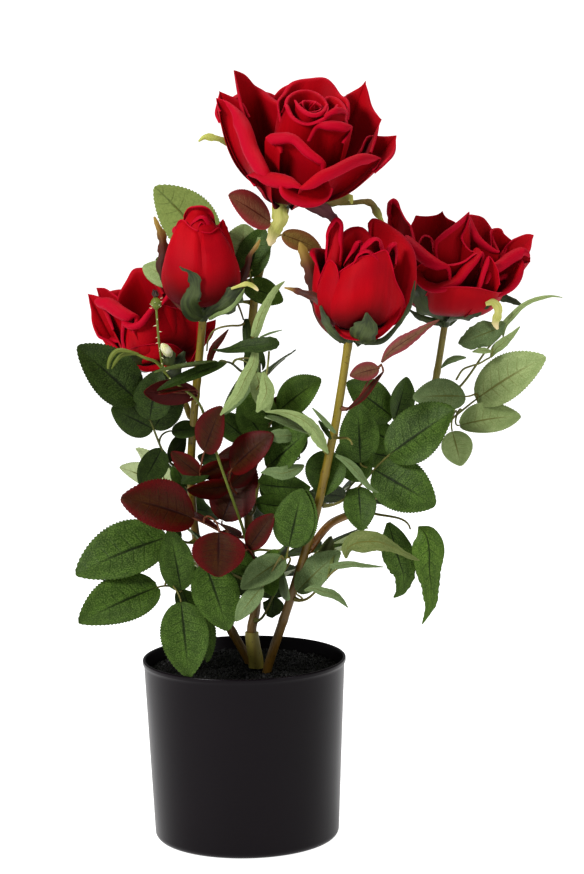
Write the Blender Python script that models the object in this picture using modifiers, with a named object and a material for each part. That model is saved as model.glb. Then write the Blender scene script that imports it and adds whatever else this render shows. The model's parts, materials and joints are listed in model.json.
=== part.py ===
"""Artificial rose bush in a round nursery pot.

Blender 4.5 script, metres, +Z up. The origin is the centre of the pot's flat
underside, and the bush faces -Y. The tables give lengths in millimetres.
"""
import math
import random
from collections import namedtuple

import bmesh
import bpy
from mathutils import Matrix, Vector
from mathutils.bvhtree import BVHTree

MM = 0.001

# Pot: a thin turned shell that tapers to a rounded foot.
POT_HEIGHT = 126 * MM
RIM_RADIUS = 70 * MM
FOOT_RADIUS = 63.5 * MM
FOOT_ROUND = 5 * MM
WALL = 2 * MM
MERGE = 0.01 * MM
LIP_HEIGHT = 3 * MM
LIP_DEPTH = 0.7 * MM
LIP_EDGE = 0.5 * MM
FOOT_STEPS = 4
TURN_STEPS = 40
SOIL_HEIGHT = 118 * MM

# Clearance between neighbours that touch on the real bush.
GAP = 0.3 * MM
FORK_GAP = 0.4 * MM
# Sliver sizes that are welded after fusing, in the order they are tried.
SLIVERS = (0.001 * MM, 0.003 * MM, 0.01 * MM, 0.02 * MM, 0.04 * MM, 0.0002 * MM)

# Canes.
CANE_SPACING = 24 * MM
CANE_RESOLUTION = 2

# Leaves: lens-shaped blades on four-sided leaf stalks.
TWIG_RADIUS = 1.1 * MM
TWIG_TIP_RADIUS = 0.75 * MM
TWIG_STEPS = 5
LEAF_THICKNESS = 0.9 * MM
LEAF_CREST = 0.4
LEAF_FOLD = 0.2
LEAF_DROOP = 0.10
LEAF_SIDES = 8
LEAF_MARGIN = 1.04
LEAF_CLEARANCE = 1.2 * MM
TERMINAL_SINK = 1.5 * MM
YAW_SPREAD = 5
ROLL_SPREAD = 14
SIZE_SPREAD = 0.06
# Yaw, pitch and scale tried in turn until a leaf is clear of its neighbours.
TWEAKS = (
    (0, 0, 1.0), (0, 18, 1.0), (0, -18, 1.0), (18, 0, 1.0), (-18, 0, 1.0),
    (0, 34, 0.95), (0, -34, 0.95), (32, 12, 0.92), (-32, 12, 0.92),
    (20, -28, 0.88), (-20, -28, 0.88), (0, 55, 0.85), (50, 0, 0.8), (-50, 0, 0.8),
)

# Blooms: petals that stand round a solid heart.
PETAL_THICKNESS = 1.2 * MM
PETAL_ROOT_RADIUS = 3.5 * MM
PETAL_START = 0.07
PETAL_RISE = 1.2 * MM
PETAL_CUP = 1.15
PETAL_CUP_LEAST = 9 * MM
PETAL_SHOULDER = 0.26
PETAL_COLUMNS = 4
PETAL_ROWS = 3
LEAN_STEPS = 40
HEART_FOOT = 1.15
HEART_TOP = 0.65
AZIMUTH_SPREAD = 6
LEAN_SPREAD = 3
LENGTH_SPREAD = 0.04
SEPAL_THICKNESS = 0.9 * MM
SEPAL_COLUMNS = 2
SEPAL_ROWS = 3
SEPAL_START = -0.06
SEPAL_ROOT_RADIUS = 5 * MM
SEPAL_OPENING = 3
SEPAL_TRIES = 16
SEPAL_DROP = 3.5 * MM
CUP_HEIGHT = 7 * MM
CUP_FOOT_RADIUS = 3 * MM
CUP_RADIUS = 7 * MM

Limb = namedtuple("Limb", "name parent fork route root_diameter tip_diameter colour")
Spray = namedtuple("Spray", "name limb height root tip face roll aspect leaflets tint")
Ring = namedtuple("Ring", "count start length width leans curl")
Bloom = namedtuple("Bloom", "name limb axis heart rings sepals")
Leaf = namedtuple("Leaf", "root forward face length width")
Petal = namedtuple("Petal", "azimuth length width leans curl outline start columns rows root drop")

# Colours: base colour, roughness.
FINISHES = {
    "pot_black": ((0.020, 0.017, 0.019), 0.35),
    "soil_dark": ((0.012, 0.010, 0.008), 0.9),
    "cane_olive": ((0.28, 0.22, 0.05), 0.5),
    "cane_brown": ((0.16, 0.08, 0.03), 0.6),
    "shoot_green": ((0.22, 0.30, 0.06), 0.5),
    "petal_red": ((0.55, 0.005, 0.015), 0.6),
    "sepal_green": ((0.05, 0.09, 0.03), 0.6),
    "green": ((0.045, 0.10, 0.02), 0.5),
    "pale": ((0.22, 0.30, 0.15), 0.6),
    "burgundy": ((0.13, 0.012, 0.02), 0.5),
    "olive": ((0.16, 0.12, 0.05), 0.5),
}

# Canes from foot to tip. A cane with a parent forks from it at the height `fork`.
LIMBS = (
    Limb("trunk", None, None,
         ((8, 0, 118.3), (6.6, 0, 132), (5.6, 0, 140), (5.6, 0, 143.2)), 11.0, 9.8, "cane_brown"),
    Limb("cane_top", None, None,
         ((5.6, 0, 143.6), (8.8, 2, 165), (5.2, 4, 200), (4.6, 6, 283), (7.5, 6, 331),
          (11.7, 4, 375.6), (19.7, 3, 406.2), (31.8, 2.5, 429.5), (33.7, 0, 436.5)),
         7.0, 5.6, "cane_olive"),
    Limb("cane_left_bud", None, None,
         ((2.3, 12, 118.3), (-9.7, 12, 143.7), (-24.3, 8, 171.6), (-32.1, 0, 215.1),
          (-33.7, -8, 258), (-30.8, -13, 296.4), (-26.5, -17, 334.3), (-23.1, -20, 362.9)),
         6.4, 5.4, "cane_olive"),
    Limb("cane_right_bud", None, None,
         ((16.3, -14, 118.3), (32.2, -22, 169.7), (42.2, -28, 201.8), (52.1, -34, 236.9),
          (60.6, -40, 275), (66.2, -43, 302.3), (74.1, -45, 349.9)), 6.6, 5.6, "cane_olive"),
    Limb("cane_left_bloom", "cane_left_bud", 294,
         ((-37.8, 0, 304), (-46.2, 12, 311), (-53, 21.5, 316), (-54.7, 22, 323.2)),
         4.6, 4.2, "cane_olive"),
    Limb("cane_right_bloom", "cane_right_bud", 205,
         ((60.3, -10, 219.6), (81.3, 8, 227.3), (109.5, 22, 251.1), (127.5, 30, 281),
          (135.5, 32, 313.4), (141.9, 30, 351.7)), 5.6, 4.8, "cane_brown"),
    Limb("young_shoot", "cane_top", 193,
         ((1.1, -20, 218.8), (-10.2, -30, 255.6), (-18.3, -33, 282), (-27.1, -35, 308.1),
          (-46.6, -40, 326.5), (-51.3, -45, 344.6), (-53.6, -48, 384.8)),
         3.0, 2.2, "shoot_green"),
)

# The heart's diameter and height, then rings of petals: count, azimuth of the first,
# length, width, lean from the axis at the root, middle and tip, and how far the upper
# corners roll outward. Each sepal has its azimuth, length, width, and how many degrees
# it stands off the outer petals at its root, middle and tip. Azimuth 0 is the bloom's
# right, 90 its back and -90 its front.
BLOOMS = (
    Bloom("top", "cane_top", (0.08, -0.44, 0.89), (38, 66),
          (Ring(4, 60, 76, 58, (82, -4, 10), 0.30),
           Ring(5, 128, 88, 72, (94, 32, 44), 0.34)),
          ((-95, 46, 13, (10, 70, 150)), (-30, 46, 12, (10, 40, 60)), (40, 40, 11, (4, 10, 20)),
           (120, 42, 11, (4, 10, 20)), (195, 54, 10, (10, 40, 30)))),
    Bloom("left_bud", "cane_left_bud", (-0.02, 0.0, 1.0), (33, 66),
          (Ring(3, -97, 76, 60, (82, 0, -32), 0.03),),
          ((-85, 36, 15, (2, 2, 2)), (-20, 40, 15, (2, 6, 40)), (60, 48, 11, (2, 6, 18)),
           (130, 44, 11, (2, 6, 14)), (195, 58, 11, (2, 4, 10)))),
    Bloom("left_bloom", "cane_left_bloom", (-0.30, -0.02, 0.95), (38, 60),
          (Ring(5, 180, 76, 60, (86, 6, 20), 0.25),),
          ((-80, 26, 12, (2, 4, 4)), (-8, 26, 12, (2, 4, 4)), (64, 26, 12, (2, 4, 4)),
           (136, 26, 12, (2, 4, 4)), (208, 26, 12, (2, 4, 4)))),
    Bloom("right_bud", "cane_right_bud", (0.05, 0.0, 1.0), (44, 66),
          (Ring(3, -86, 82, 76, (88, 0, -18), 0.08),
           Ring(2, 180, 88, 62, (90, 4, 0), 0.22)),
          ((-90, 30, 19, (2, 2, 2)), (-20, 34, 15, (2, 4, 4)), (60, 36, 12, (2, 4, 6)),
           (130, 48, 11, (2, 10, 24)), (192, 62, 12, (2, 8, 12)))),
    Bloom("right_bloom", "cane_right_bloom", (0.10, -0.10, 0.99), (40, 58),
          (Ring(4, 70, 76, 60, (84, 4, 24), 0.30),
           Ring(5, 160, 84, 66, (94, 20, 60), 0.34)),
          ((-125, 38, 16, (2, 2, 2)), (-50, 40, 14, (2, 4, 6)), (10, 42, 11, (2, 14, 60)),
           (85, 36, 11, (2, 6, 20)), (160, 34, 12, (2, 4, 4)))),
)

FRONT = (0, -0.75, 0.66)
RIGHT = (0.45, -0.6, 0.66)
BACK = (0, 0.75, 0.66)
TURNED = (0, 0.8, 0.45)
FIVE = ((0.66, 62, 0.8, 0), (0.66, -62, 0.8, 0), (0.34, 68, 0.64, 0), (0.34, -68, 0.64, 0))
THREE = ((0.58, 62, 0.82, 0), (0.58, -62, 0.82, 0))

# Compound leaves: the cane and the height they spring from, where the end leaflet
# starts and where its tip is, the way its upper face looks, its roll and its width as
# a share of its length. Each side leaflet has its station on the stalk, its angle
# from it, its length as a share of the end leaflet's, and its roll.
SPRAYS = (
    Spray("left_dark", "cane_left_bud", 259, (-68, -30, 309), (-105, -40, 348), FRONT, 0, 0.66,
          ((0.66, -63, 0.67, 0), (0.66, 40, 0.6, 0), (0.44, 130, 0.52, 0), (0.3, -100, 0.42, 0)),
          "green"),
    Spray("low_left", "cane_left_bud", 172, (-58, -34, 182), (-108, -60, 168), FRONT, 0, 0.62,
          ((0.55, 96, 0.9, 0), (0.57, -74, 0.7, 0)), "green"),
    Spray("low_left_back", "cane_left_bud", 208, (-52, -18, 213), (-111, -40, 199), FRONT, 0,
          0.64, ((0.5, 70, 0.5, 0), (0.5, -60, 0.5, 0)), "green"),
    Spray("mid_hang", "cane_top", 180, (-24, -40, 198), (-9, -62, 160), FRONT, 0, 0.66,
          ((0.8, 80, 1.0, 0), (0.6, -80, 0.7, 0)), "green"),
    Spray("burgundy_mid", "cane_top", 210, (-32, -50, 232), (-75, -65, 252), FRONT, 0, 0.74,
          ((0.56, -84, 0.92, 0), (0.58, 121, 0.66, 0), (0.2, -105, 0.5, 0)), "burgundy"),
    Spray("burgundy_high", "cane_top", 236, (-5, -30, 262), (18, -45, 288), FRONT, 0, 0.66,
          ((0.6, 75, 0.8, 0), (0.6, -70, 0.7, 0)), "burgundy"),
    Spray("burgundy_up", "cane_left_bud", 245, (-23, -30, 275), (-6, -40, 307), FRONT, 0, 0.6,
          ((0.55, 65, 0.7, 0), (0.55, -65, 0.7, 0)), "burgundy"),
    Spray("left_olive", "cane_left_bud", 236, (-56, 20, 244), (-82, 35, 256), TURNED, 0, 0.6,
          ((0.55, 60, 1.3, 0), (0.55, -60, 1.1, 0)), "olive"),
    Spray("collar", "cane_left_bud", 311, (-30, -40, 317), (-52, -60, 320), FRONT, 40, 0.4,
          ((0.5, -40, 1.4, 60),), "burgundy"),
    Spray("centre_green", "cane_top", 323, (-15, -40, 334), (-52, -60, 321), FRONT, 55, 0.5,
          (), "green"),
    Spray("centre_dark", "cane_top", 343, (-11, -30, 342), (28, -60, 353), FRONT, 40, 0.42,
          (), "green"),
    Spray("centre_pale", "cane_top", 333, (10, -20, 348), (32, -35, 392), FRONT, 60, 0.5,
          ((0.6, 160, 1.0, 60), (0.6, 14, 0.75, 60), (0.4, -165, 0.55, 20)), "pale"),
    Spray("top_green", "cane_top", 382, (10, -15, 394), (32, -45, 378), FRONT, 0, 0.72,
          (), "green"),
    Spray("bud_back", "cane_top", 392, (-18, 40, 404), (-52, 50, 449), TURNED, 0, 0.68,
          ((0.3, 50, 0.8, 0), (0.8, 75, 0.7, 0)), "pale"),
    Spray("bud_back_low", "cane_top", 370, (-29, 35, 370), (-62, 45, 396), TURNED, 0, 0.6,
          ((0.5, -60, 0.8, 0),), "pale"),
    Spray("top_burgundy", "cane_top", 412, (22, -20, 427), (-2, -40, 447), FRONT, 0, 0.7,
          (), "burgundy"),
    Spray("top_olive", "cane_top", 413, (32, -20, 418), (58, -32, 420), FRONT, 0, 0.6,
          (), "olive"),
    Spray("right_pale", "cane_right_bloom", 278, (162, 0, 303), (202, -20, 335), RIGHT, 0, 0.6,
          ((0.62, -50, 0.75, 0), (0.60, 100, 0.68, 0), (0.55, -127, 0.45, 0)), "pale"),
    Spray("right_upper", "cane_right_bloom", 302, (181, 15, 346), (218, 0, 372), RIGHT, 65, 0.5,
          ((0.45, -10, 0.8, 0), (0.75, 85, 0.78, 0), (0.45, 150, 0.72, 60)), "pale"),
    Spray("right_burgundy", "cane_right_bud", 304, (95, -62, 335), (134, -70, 364), FRONT, 30,
          0.45, ((0.85, 94, 0.5, 0), (0.8, 165, 0.65, 60)), "burgundy"),
    Spray("right_big", "cane_right_bud", 237, (101, -30, 270), (142, -45, 303), FRONT, 0, 0.72,
          ((0.6, 66, 0.68, 0), (0.75, -75, 0.83, 0), (0.5, -125, 0.55, 0)), "green"),
    Spray("right_mid", "cane_right_bloom", 252, (103, 0, 292), (74, -10, 317), FRONT, 0, 0.74,
          ((0.9, -60, 0.8, 0), (0.5, -70, 0.85, 0), (0.5, 70, 0.9, 0), (0.25, 80, 0.8, 0)),
          "green"),
    Spray("joint_pale", "cane_right_bud", 274, (51, -62, 287), (20, -75, 306), FRONT, 40, 0.45,
          ((0.5, -60, 0.6, 0),), "pale"),
    Spray("joint_down", "cane_right_bud", 285, (75, -65, 282), (87, -78, 239), FRONT, 60, 0.45,
          ((0.6, 60, 0.7, 30),), "pale"),
    Spray("top_mid", "cane_top", 272, (27, -10, 298), (52, -25, 322), FRONT, 0, 0.72,
          ((0.75, 70, 0.9, 0), (0.75, -65, 0.9, 0), (0.4, 72, 0.75, 0), (0.4, -70, 0.75, 0)),
          "green"),
    Spray("centre_grey", "cane_top", 226, (19, -30, 263), (46, -45, 290), FRONT, 0, 0.66,
          ((0.7, 75, 0.95, 0), (0.7, -70, 0.95, 0), (0.4, 80, 0.8, 0), (0.4, -75, 0.8, 0)),
          "pale"),
    Spray("centre_low", "cane_top", 200, (31, -10, 206), (51, -25, 247), FRONT, 0, 0.7,
          ((0.75, 70, 0.9, 0), (0.7, -60, 0.8, 0), (0.4, -75, 0.7, 0)), "green"),
    Spray("low_mid", "cane_top", 152, (29, -25, 184), (60, -45, 210), FRONT, 0, 0.68,
          ((0.75, 70, 0.8, 0), (0.75, -70, 0.9, 0), (0.45, 75, 0.7, 0), (0.45, -75, 0.75, 0)),
          "green"),
    Spray("low_right", "cane_right_bud", 172, (70, -45, 197), (119, -65, 204), FRONT, 50, 0.5,
          ((0.25, -58, 0.67, 0), (0.5, -30, 0.85, 50), (0.6, 75, 0.7, 0)), "pale"),
    Spray("low_pale", "cane_top", 170, (28, -45, 202), (0, -60, 189), FRONT, 0, 0.6,
          ((0.5, 60, 0.9, 0), (0.5, -70, 0.8, 0)), "pale"),
    Spray("right_hang", "cane_right_bloom", 228, (115, -10, 215), (124, -30, 156), FRONT, 20,
          0.5, ((0.55, -61, 0.79, 0), (0.8, 70, 0.5, 0)), "green"),
    Spray("back_low_left", "cane_left_bud", 165, (-34, 52, 182), (-58, 92, 176), BACK, 0, 0.66,
          FIVE, "green"),
    Spray("back_left", "cane_left_bud", 222, (-46, 46, 240), (-66, 84, 258), BACK, 0, 0.66,
          FIVE, "green"),
    Spray("back_foot", "cane_top", 162, (8, 52, 176), (14, 96, 168), BACK, 0, 0.66,
          FIVE, "green"),
    Spray("back_mid", "cane_top", 216, (-4, 50, 236), (-14, 92, 250), BACK, 0, 0.66,
          FIVE, "green"),
    Spray("back_high", "cane_top", 262, (12, 48, 282), (24, 88, 300), BACK, 0, 0.66,
          FIVE, "burgundy"),
    Spray("back_crest", "cane_top", 300, (20, 40, 318), (34, 76, 330), BACK, 0, 0.66,
          THREE, "green"),
    Spray("back_low_right", "cane_right_bud", 186, (60, 30, 198), (86, 72, 192), BACK, 0, 0.66,
          FIVE, "green"),
    Spray("back_right", "cane_right_bloom", 226, (84, 50, 246), (104, 90, 262), BACK, 0, 0.66,
          FIVE, "green"),
    Spray("back_far_right", "cane_right_bloom", 262, (128, 68, 272), (138, 104, 290), BACK, 0,
          0.66, THREE, "pale"),
)


def clear_scene():
    """Empty the scene of what Blender starts with."""
    for item in list(bpy.data.objects):
        bpy.data.objects.remove(item, do_unlink=True)


def new_collection(name):
    collection = bpy.data.collections.new(name)
    bpy.context.scene.collection.children.link(collection)
    return collection


def make_materials():
    """One plain finish for each kind of surface."""
    materials = {}
    for name, (colour, roughness) in FINISHES.items():
        material = bpy.data.materials.new(name)
        material.use_nodes = True
        shader = material.node_tree.nodes["Principled BSDF"]
        shader.inputs["Base Color"].default_value = (*colour, 1.0)
        shader.inputs["Roughness"].default_value = roughness
        materials[name] = material
    return materials


def to_object(name, mesh):
    item = bpy.data.objects.new(name, mesh)
    PLANT.objects.link(item)
    return item


def from_bmesh(name, shape):
    mesh = bpy.data.meshes.new(name)
    shape.to_mesh(mesh)
    shape.free()
    return to_object(name, mesh)


def evaluated_copy(item, name):
    """A mesh object with the evaluated shape of `item`, which is removed."""
    graph = bpy.context.evaluated_depsgraph_get()
    mesh = bpy.data.meshes.new_from_object(item.evaluated_get(graph))
    bpy.data.objects.remove(item, do_unlink=True)
    return to_object(name, mesh)


def metres(point):
    return Vector(point) * MM


def smooth_route(points, spacing):
    """Points about `spacing` apart on a Catmull-Rom curve through the given points."""
    ends = [2 * points[0] - points[1]] + list(points) + [2 * points[-1] - points[-2]]
    route = []
    for a, b, c, d in zip(ends, ends[1:], ends[2:], ends[3:]):
        steps = max(1, round((c - b).length / spacing))
        for step in range(steps):
            t = step / steps
            route.append(0.5 * (2 * b + (c - a) * t + (2 * a - 5 * b + 4 * c - d) * t * t
                                + (3 * b - a - 3 * c + d) * t ** 3))
    route.append(points[-1])
    return route


def tube(name, route, root_radius, tip_radius, resolution):
    """A closed tapering tube along the route, as a mesh."""
    curve = bpy.data.curves.new(name, "CURVE")
    curve.dimensions = "3D"
    curve.bevel_depth = root_radius
    curve.bevel_resolution = resolution
    curve.use_fill_caps = True
    spline = curve.splines.new("POLY")
    spline.points.add(len(route) - 1)
    for index, point in enumerate(route):
        share = index / (len(route) - 1)
        spline.points[index].co = (*point, 1.0)
        spline.points[index].radius = 1.0 + (tip_radius / root_radius - 1.0) * share
    item = evaluated_copy(to_object(name, curve), name)
    weld_caps(item.data)
    return item


def weld_caps(mesh):
    shape = bmesh.new()
    shape.from_mesh(mesh)
    bmesh.ops.remove_doubles(shape, verts=shape.verts, dist=MERGE)
    shape.to_mesh(mesh)
    shape.free()


def turned(name, profile):
    """A solid turned about Z from (radius, height) pairs, outer side first."""
    shape = bmesh.new()
    rings = [shape.verts.new((radius, 0, height)) for radius, height in profile]
    for upper, lower in zip(rings, rings[1:]):
        shape.edges.new((upper, lower))
    item = from_bmesh(name, shape)
    screw = item.modifiers.new("Turn", "SCREW")
    screw.steps = TURN_STEPS
    screw.render_steps = TURN_STEPS
    screw.use_merge_vertices = True
    screw.merge_threshold = MERGE
    return item


def wall_radius(height):
    """Outer radius of the pot's tapering wall."""
    return FOOT_RADIUS + (RIM_RADIUS - LIP_DEPTH - FOOT_RADIUS) * height / POT_HEIGHT


def make_pot():
    """The pot: rounded foot, tapering wall and a small lip at the rim."""
    lip_foot = POT_HEIGHT - LIP_HEIGHT
    profile = [(0, WALL), (wall_radius(WALL) - FOOT_ROUND, WALL),
               (wall_radius(FOOT_ROUND) - WALL, FOOT_ROUND),
               (RIM_RADIUS - WALL, POT_HEIGHT), (RIM_RADIUS - LIP_EDGE, POT_HEIGHT),
               (RIM_RADIUS, POT_HEIGHT - LIP_EDGE), (RIM_RADIUS, lip_foot),
               (wall_radius(lip_foot), lip_foot - LIP_DEPTH)]
    for step in range(FOOT_STEPS + 1):
        turn = math.radians(90) * step / FOOT_STEPS
        profile.append((wall_radius(FOOT_ROUND) - FOOT_ROUND * (1 - math.cos(turn)),
                        FOOT_ROUND * (1 - math.sin(turn))))
    profile.append((0, 0))
    return turned("pot", profile)


def make_soil():
    """The filling, up to the soil's level surface."""
    side = WALL + GAP
    profile = [(0, SOIL_HEIGHT), (wall_radius(SOIL_HEIGHT) - side, SOIL_HEIGHT),
               (wall_radius(FOOT_ROUND) - side, FOOT_ROUND + GAP),
               (wall_radius(WALL) - FOOT_ROUND - GAP, WALL + GAP), (0, WALL + GAP)]
    return turned("soil", profile)


class Cane:
    """A limb's centreline, so that forks and leaf stalks can be set on it."""

    def __init__(self, limb):
        self.root_radius = limb.root_diameter / 2 * MM
        self.tip_radius = limb.tip_diameter / 2 * MM
        points = [metres(point) for point in limb.route]
        if limb.parent:
            foot, away = CANES[limb.parent].seat(limb.fork * MM, points[0])
            points = [foot, foot + away * self.root_radius] + points
        else:
            points.insert(1, points[0] + Vector((0, 0, self.root_radius)))
        self.route = smooth_route(points, CANE_SPACING)

    def seat(self, height, target):
        """A point just off the surface at `height` on the target's side, and the way out."""
        last = len(self.route) - 1
        index = next(i for i, p in enumerate(self.route) if p.z >= height or i == last)
        low = self.route[index - 1]
        high = self.route[index]
        centre = low.lerp(high, (height - low.z) / (high.z - low.z))
        along = (high - low).normalized()
        away = target - centre
        away = (away - along * away.dot(along)).normalized()
        share = index / last
        radius = self.root_radius + (self.tip_radius - self.root_radius) * share
        return centre + away * (radius + FORK_GAP), away


def make_limb(limb):
    cane = Cane(limb)
    CANES[limb.name] = cane
    return tube(limb.name, cane.route, cane.root_radius, cane.tip_radius, CANE_RESOLUTION)


def axes(forward, face):
    """Rotation whose X is forward and whose Z is the part of `face` square to it."""
    x = forward.normalized()
    z = (face - x * face.dot(x)).normalized()
    y = z.cross(x)
    return Matrix((x, y, z)).transposed()


def leaf_width(share):
    """Half width of a rose leaflet at a share of its length, 0 to 1."""
    return math.sin(math.pi * share ** 0.85) ** 0.55 if 0 < share < 1 else 0.0


def leaf_shape(leaf, swell=0.0):
    """A leaflet: a thin folded lens with a pointed tip, made from a flattened sphere."""
    shape = bmesh.new()
    bmesh.ops.create_uvsphere(shape, u_segments=LEAF_SIDES, v_segments=2, radius=1.0)
    turn = axes(leaf.forward, leaf.face)
    half = leaf.width / 2 * (LEAF_MARGIN if swell else 1.0)
    length = leaf.length * (LEAF_MARGIN if swell else 1.0)
    for vert in shape.verts:
        x, y, z = vert.co
        if abs(z) > 0.5:
            share = LEAF_CREST
            side = 0.0
            rise = math.copysign((LEAF_THICKNESS + swell) / 2, z)
        else:
            share = (1 - x) / 2
            side = math.copysign(leaf_width(share) * half, y) if abs(y) > 0.01 else 0.0
            rise = abs(side) * LEAF_FOLD
        rise -= LEAF_DROOP * length * share ** 2
        vert.co = leaf.root + turn @ Vector((share * length, side, rise))
    bmesh.ops.triangulate(shape, faces=shape.faces)
    bmesh.ops.recalc_face_normals(shape, faces=shape.faces)
    return shape


def stalk_route(spray):
    """The stalk's centreline: square off the cane, then easing into the end leaflet."""
    root = metres(spray.root)
    tip = metres(spray.tip)
    foot, away = CANES[spray.limb].seat(spray.height * MM, root)
    reach = (root - foot).length / 3
    handles = (foot, foot + away * reach, root - (tip - root).normalized() * reach, root)
    return [bezier(handles, step / TWIG_STEPS) for step in range(TWIG_STEPS + 1)]


def bezier(points, t):
    a, b, c, d = points
    return a * (1 - t) ** 3 + b * 3 * t * (1 - t) ** 2 + c * 3 * t * t * (1 - t) + d * t ** 3


def point_on(route, share):
    """Point and direction at a share of the route's steps."""
    place = min(share * (len(route) - 1), len(route) - 1.001)
    index = int(place)
    return route[index].lerp(route[index + 1], place - index), route[index + 1] - route[index]


def spray_leaves(spray, route):
    """The end leaflet and the side leaflets, before they are moved clear of neighbours."""
    root = metres(spray.root)
    tip = metres(spray.tip)
    face = Vector(spray.face)
    forward = (tip - root).normalized()
    length = (tip - root).length
    turn = Matrix.Rotation(math.radians(spray.roll), 3, forward)
    sunk = root - forward * TERMINAL_SINK
    leaves = [Leaf(sunk, forward, turn @ face, length + TERMINAL_SINK, spray.aspect * length)]
    for index, (station, angle, size, roll) in enumerate(spray.leaflets):
        dice = random.Random(f"{spray.name}{index}")
        start, along = point_on(route, station)
        up = axes(along, face).col[2]
        angle += dice.uniform(-YAW_SPREAD, YAW_SPREAD)
        roll += dice.uniform(-ROLL_SPREAD, ROLL_SPREAD)
        size *= length * (1 + dice.uniform(-SIZE_SPREAD, SIZE_SPREAD))
        way = Matrix.Rotation(math.radians(angle), 3, up) @ along.normalized()
        top = Matrix.Rotation(math.radians(roll), 3, way) @ up
        leaves.append(Leaf(start, way, top, size, spray.aspect * size))
    return leaves


def tweaked(leaf, tweak):
    """The leaflet turned sideways and up or down, and scaled."""
    yaw, pitch, scale = tweak
    turn = axes(leaf.forward, leaf.face)
    swing = Matrix.Rotation(math.radians(yaw), 3, turn.col[2])
    nod = Matrix.Rotation(math.radians(-pitch), 3, turn.col[1])
    move = swing @ nod
    return Leaf(leaf.root, move @ leaf.forward, move @ leaf.face,
                leaf.length * scale, leaf.width * scale)


def tree_of(item):
    shape = bmesh.new()
    shape.from_mesh(item.data)
    tree = BVHTree.FromBMesh(shape)
    shape.free()
    return tree


def place_leaf(leaf, obstacles):
    """The first tweak of the leaflet that touches no obstacle, or None."""
    for tweak in TWEAKS:
        trial = tweaked(leaf, tweak)
        shape = leaf_shape(trial, LEAF_CLEARANCE)
        tree = BVHTree.FromBMesh(shape)
        shape.free()
        if not any(tree.overlap(other) for other in obstacles):
            return trial
    return None


def tidy_union(item):
    """Clear the slivers that fusing leaves, and any void or scrap inside."""
    for sliver in SLIVERS:
        shape = bmesh.new()
        shape.from_mesh(item.data)
        bmesh.ops.triangulate(shape, faces=shape.faces)
        bmesh.ops.dissolve_degenerate(shape, edges=shape.edges, dist=sliver)
        bmesh.ops.remove_doubles(shape, verts=shape.verts, dist=sliver)
        bmesh.ops.triangulate(shape, faces=shape.faces)
        spare = set(shape.verts) - outer_shell(shape)
        bmesh.ops.delete(shape, geom=list(spare), context="VERTS")
        if all(len(edge.link_faces) == 2 for edge in shape.edges):
            break
    shape.to_mesh(item.data)
    shape.free()


def outer_shell(shape):
    """The vertices of the largest connected surface."""
    left = set(shape.verts)
    largest = set()
    while left:
        front = [left.pop()]
        shell = set(front)
        while front:
            linked = {vert for edge in front.pop().link_edges for vert in edge.verts}
            fresh = linked & left
            left -= fresh
            shell |= fresh
            front += fresh
        if len(shell) > len(largest):
            largest = shell
    return largest


def fuse(name, pieces):
    """One body from overlapping closed pieces."""
    tools = new_collection(f"{name}_pieces")
    for piece in pieces[1:]:
        tools.objects.link(piece)
    union = pieces[0].modifiers.new("Fuse", "BOOLEAN")
    union.operation = "UNION"
    union.operand_type = "COLLECTION"
    union.collection = tools
    union.solver = "MANIFOLD"
    body = evaluated_copy(pieces[0], name)
    for piece in pieces[1:]:
        bpy.data.objects.remove(piece, do_unlink=True)
    bpy.data.collections.remove(tools)
    tidy_union(body)
    return body


class Flower:
    """Frame of a bloom: its foot just over the calyx, its axis, and azimuth 0."""

    def __init__(self, bloom):
        self.top = CANES[bloom.limb].route[-1]
        axis = Vector(bloom.axis).normalized()
        right = (Vector((1, 0, 0)) - axis * axis.x).normalized()
        self.turn = Matrix((right, axis.cross(right), axis)).transposed()
        self.foot = self.top + axis * (cup_stand_off(bloom, axis) + CUP_HEIGHT)

    def place(self, azimuth, radius, side, height):
        spin = Matrix.Rotation(math.radians(azimuth), 3, "Z")
        return self.foot + self.turn @ (spin @ Vector((radius, side, height)))


def cup_stand_off(bloom, axis):
    """How far out along a tilted axis the cup's flat foot just clears the cane's end."""
    cane = CANES[bloom.limb]
    tilt = (cane.route[-1] - cane.route[-2]).angle(axis)
    return (GAP + CUP_FOOT_RADIUS * math.sin(tilt)) / math.cos(tilt)


def lean_at(leans, share):
    """Lean from the axis in radians, on a parabola through root, middle and tip."""
    root, middle, tip = (math.radians(lean) for lean in leans)
    return (root * (1 - share) * (1 - 2 * share) + middle * 4 * share * (1 - share)
            + tip * share * (2 * share - 1))


def petal_spine(length, leans, radius, share):
    """Radius, height and lean of a petal's midline at a share of its length."""
    height = 0.0
    step = length * share / LEAN_STEPS
    for index in range(LEAN_STEPS):
        lean = lean_at(leans, share * (index + 0.5) / LEAN_STEPS)
        radius += math.sin(lean) * step
        height += math.cos(lean) * step
    return radius, height, lean_at(leans, share)


def petal_outline(share):
    """Half width of a petal at a share of its length."""
    return 0.3 + 0.7 * math.sin(min(share * 1.3, 1) * math.pi / 2) - 0.2 * share ** 4


def sepal_outline(share):
    """Half width of a sepal at a share of its length."""
    share = max(share, 0.0)
    return max(0.45 + 2.2 * share - 2.65 * share ** 1.5, 0.08)


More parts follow.
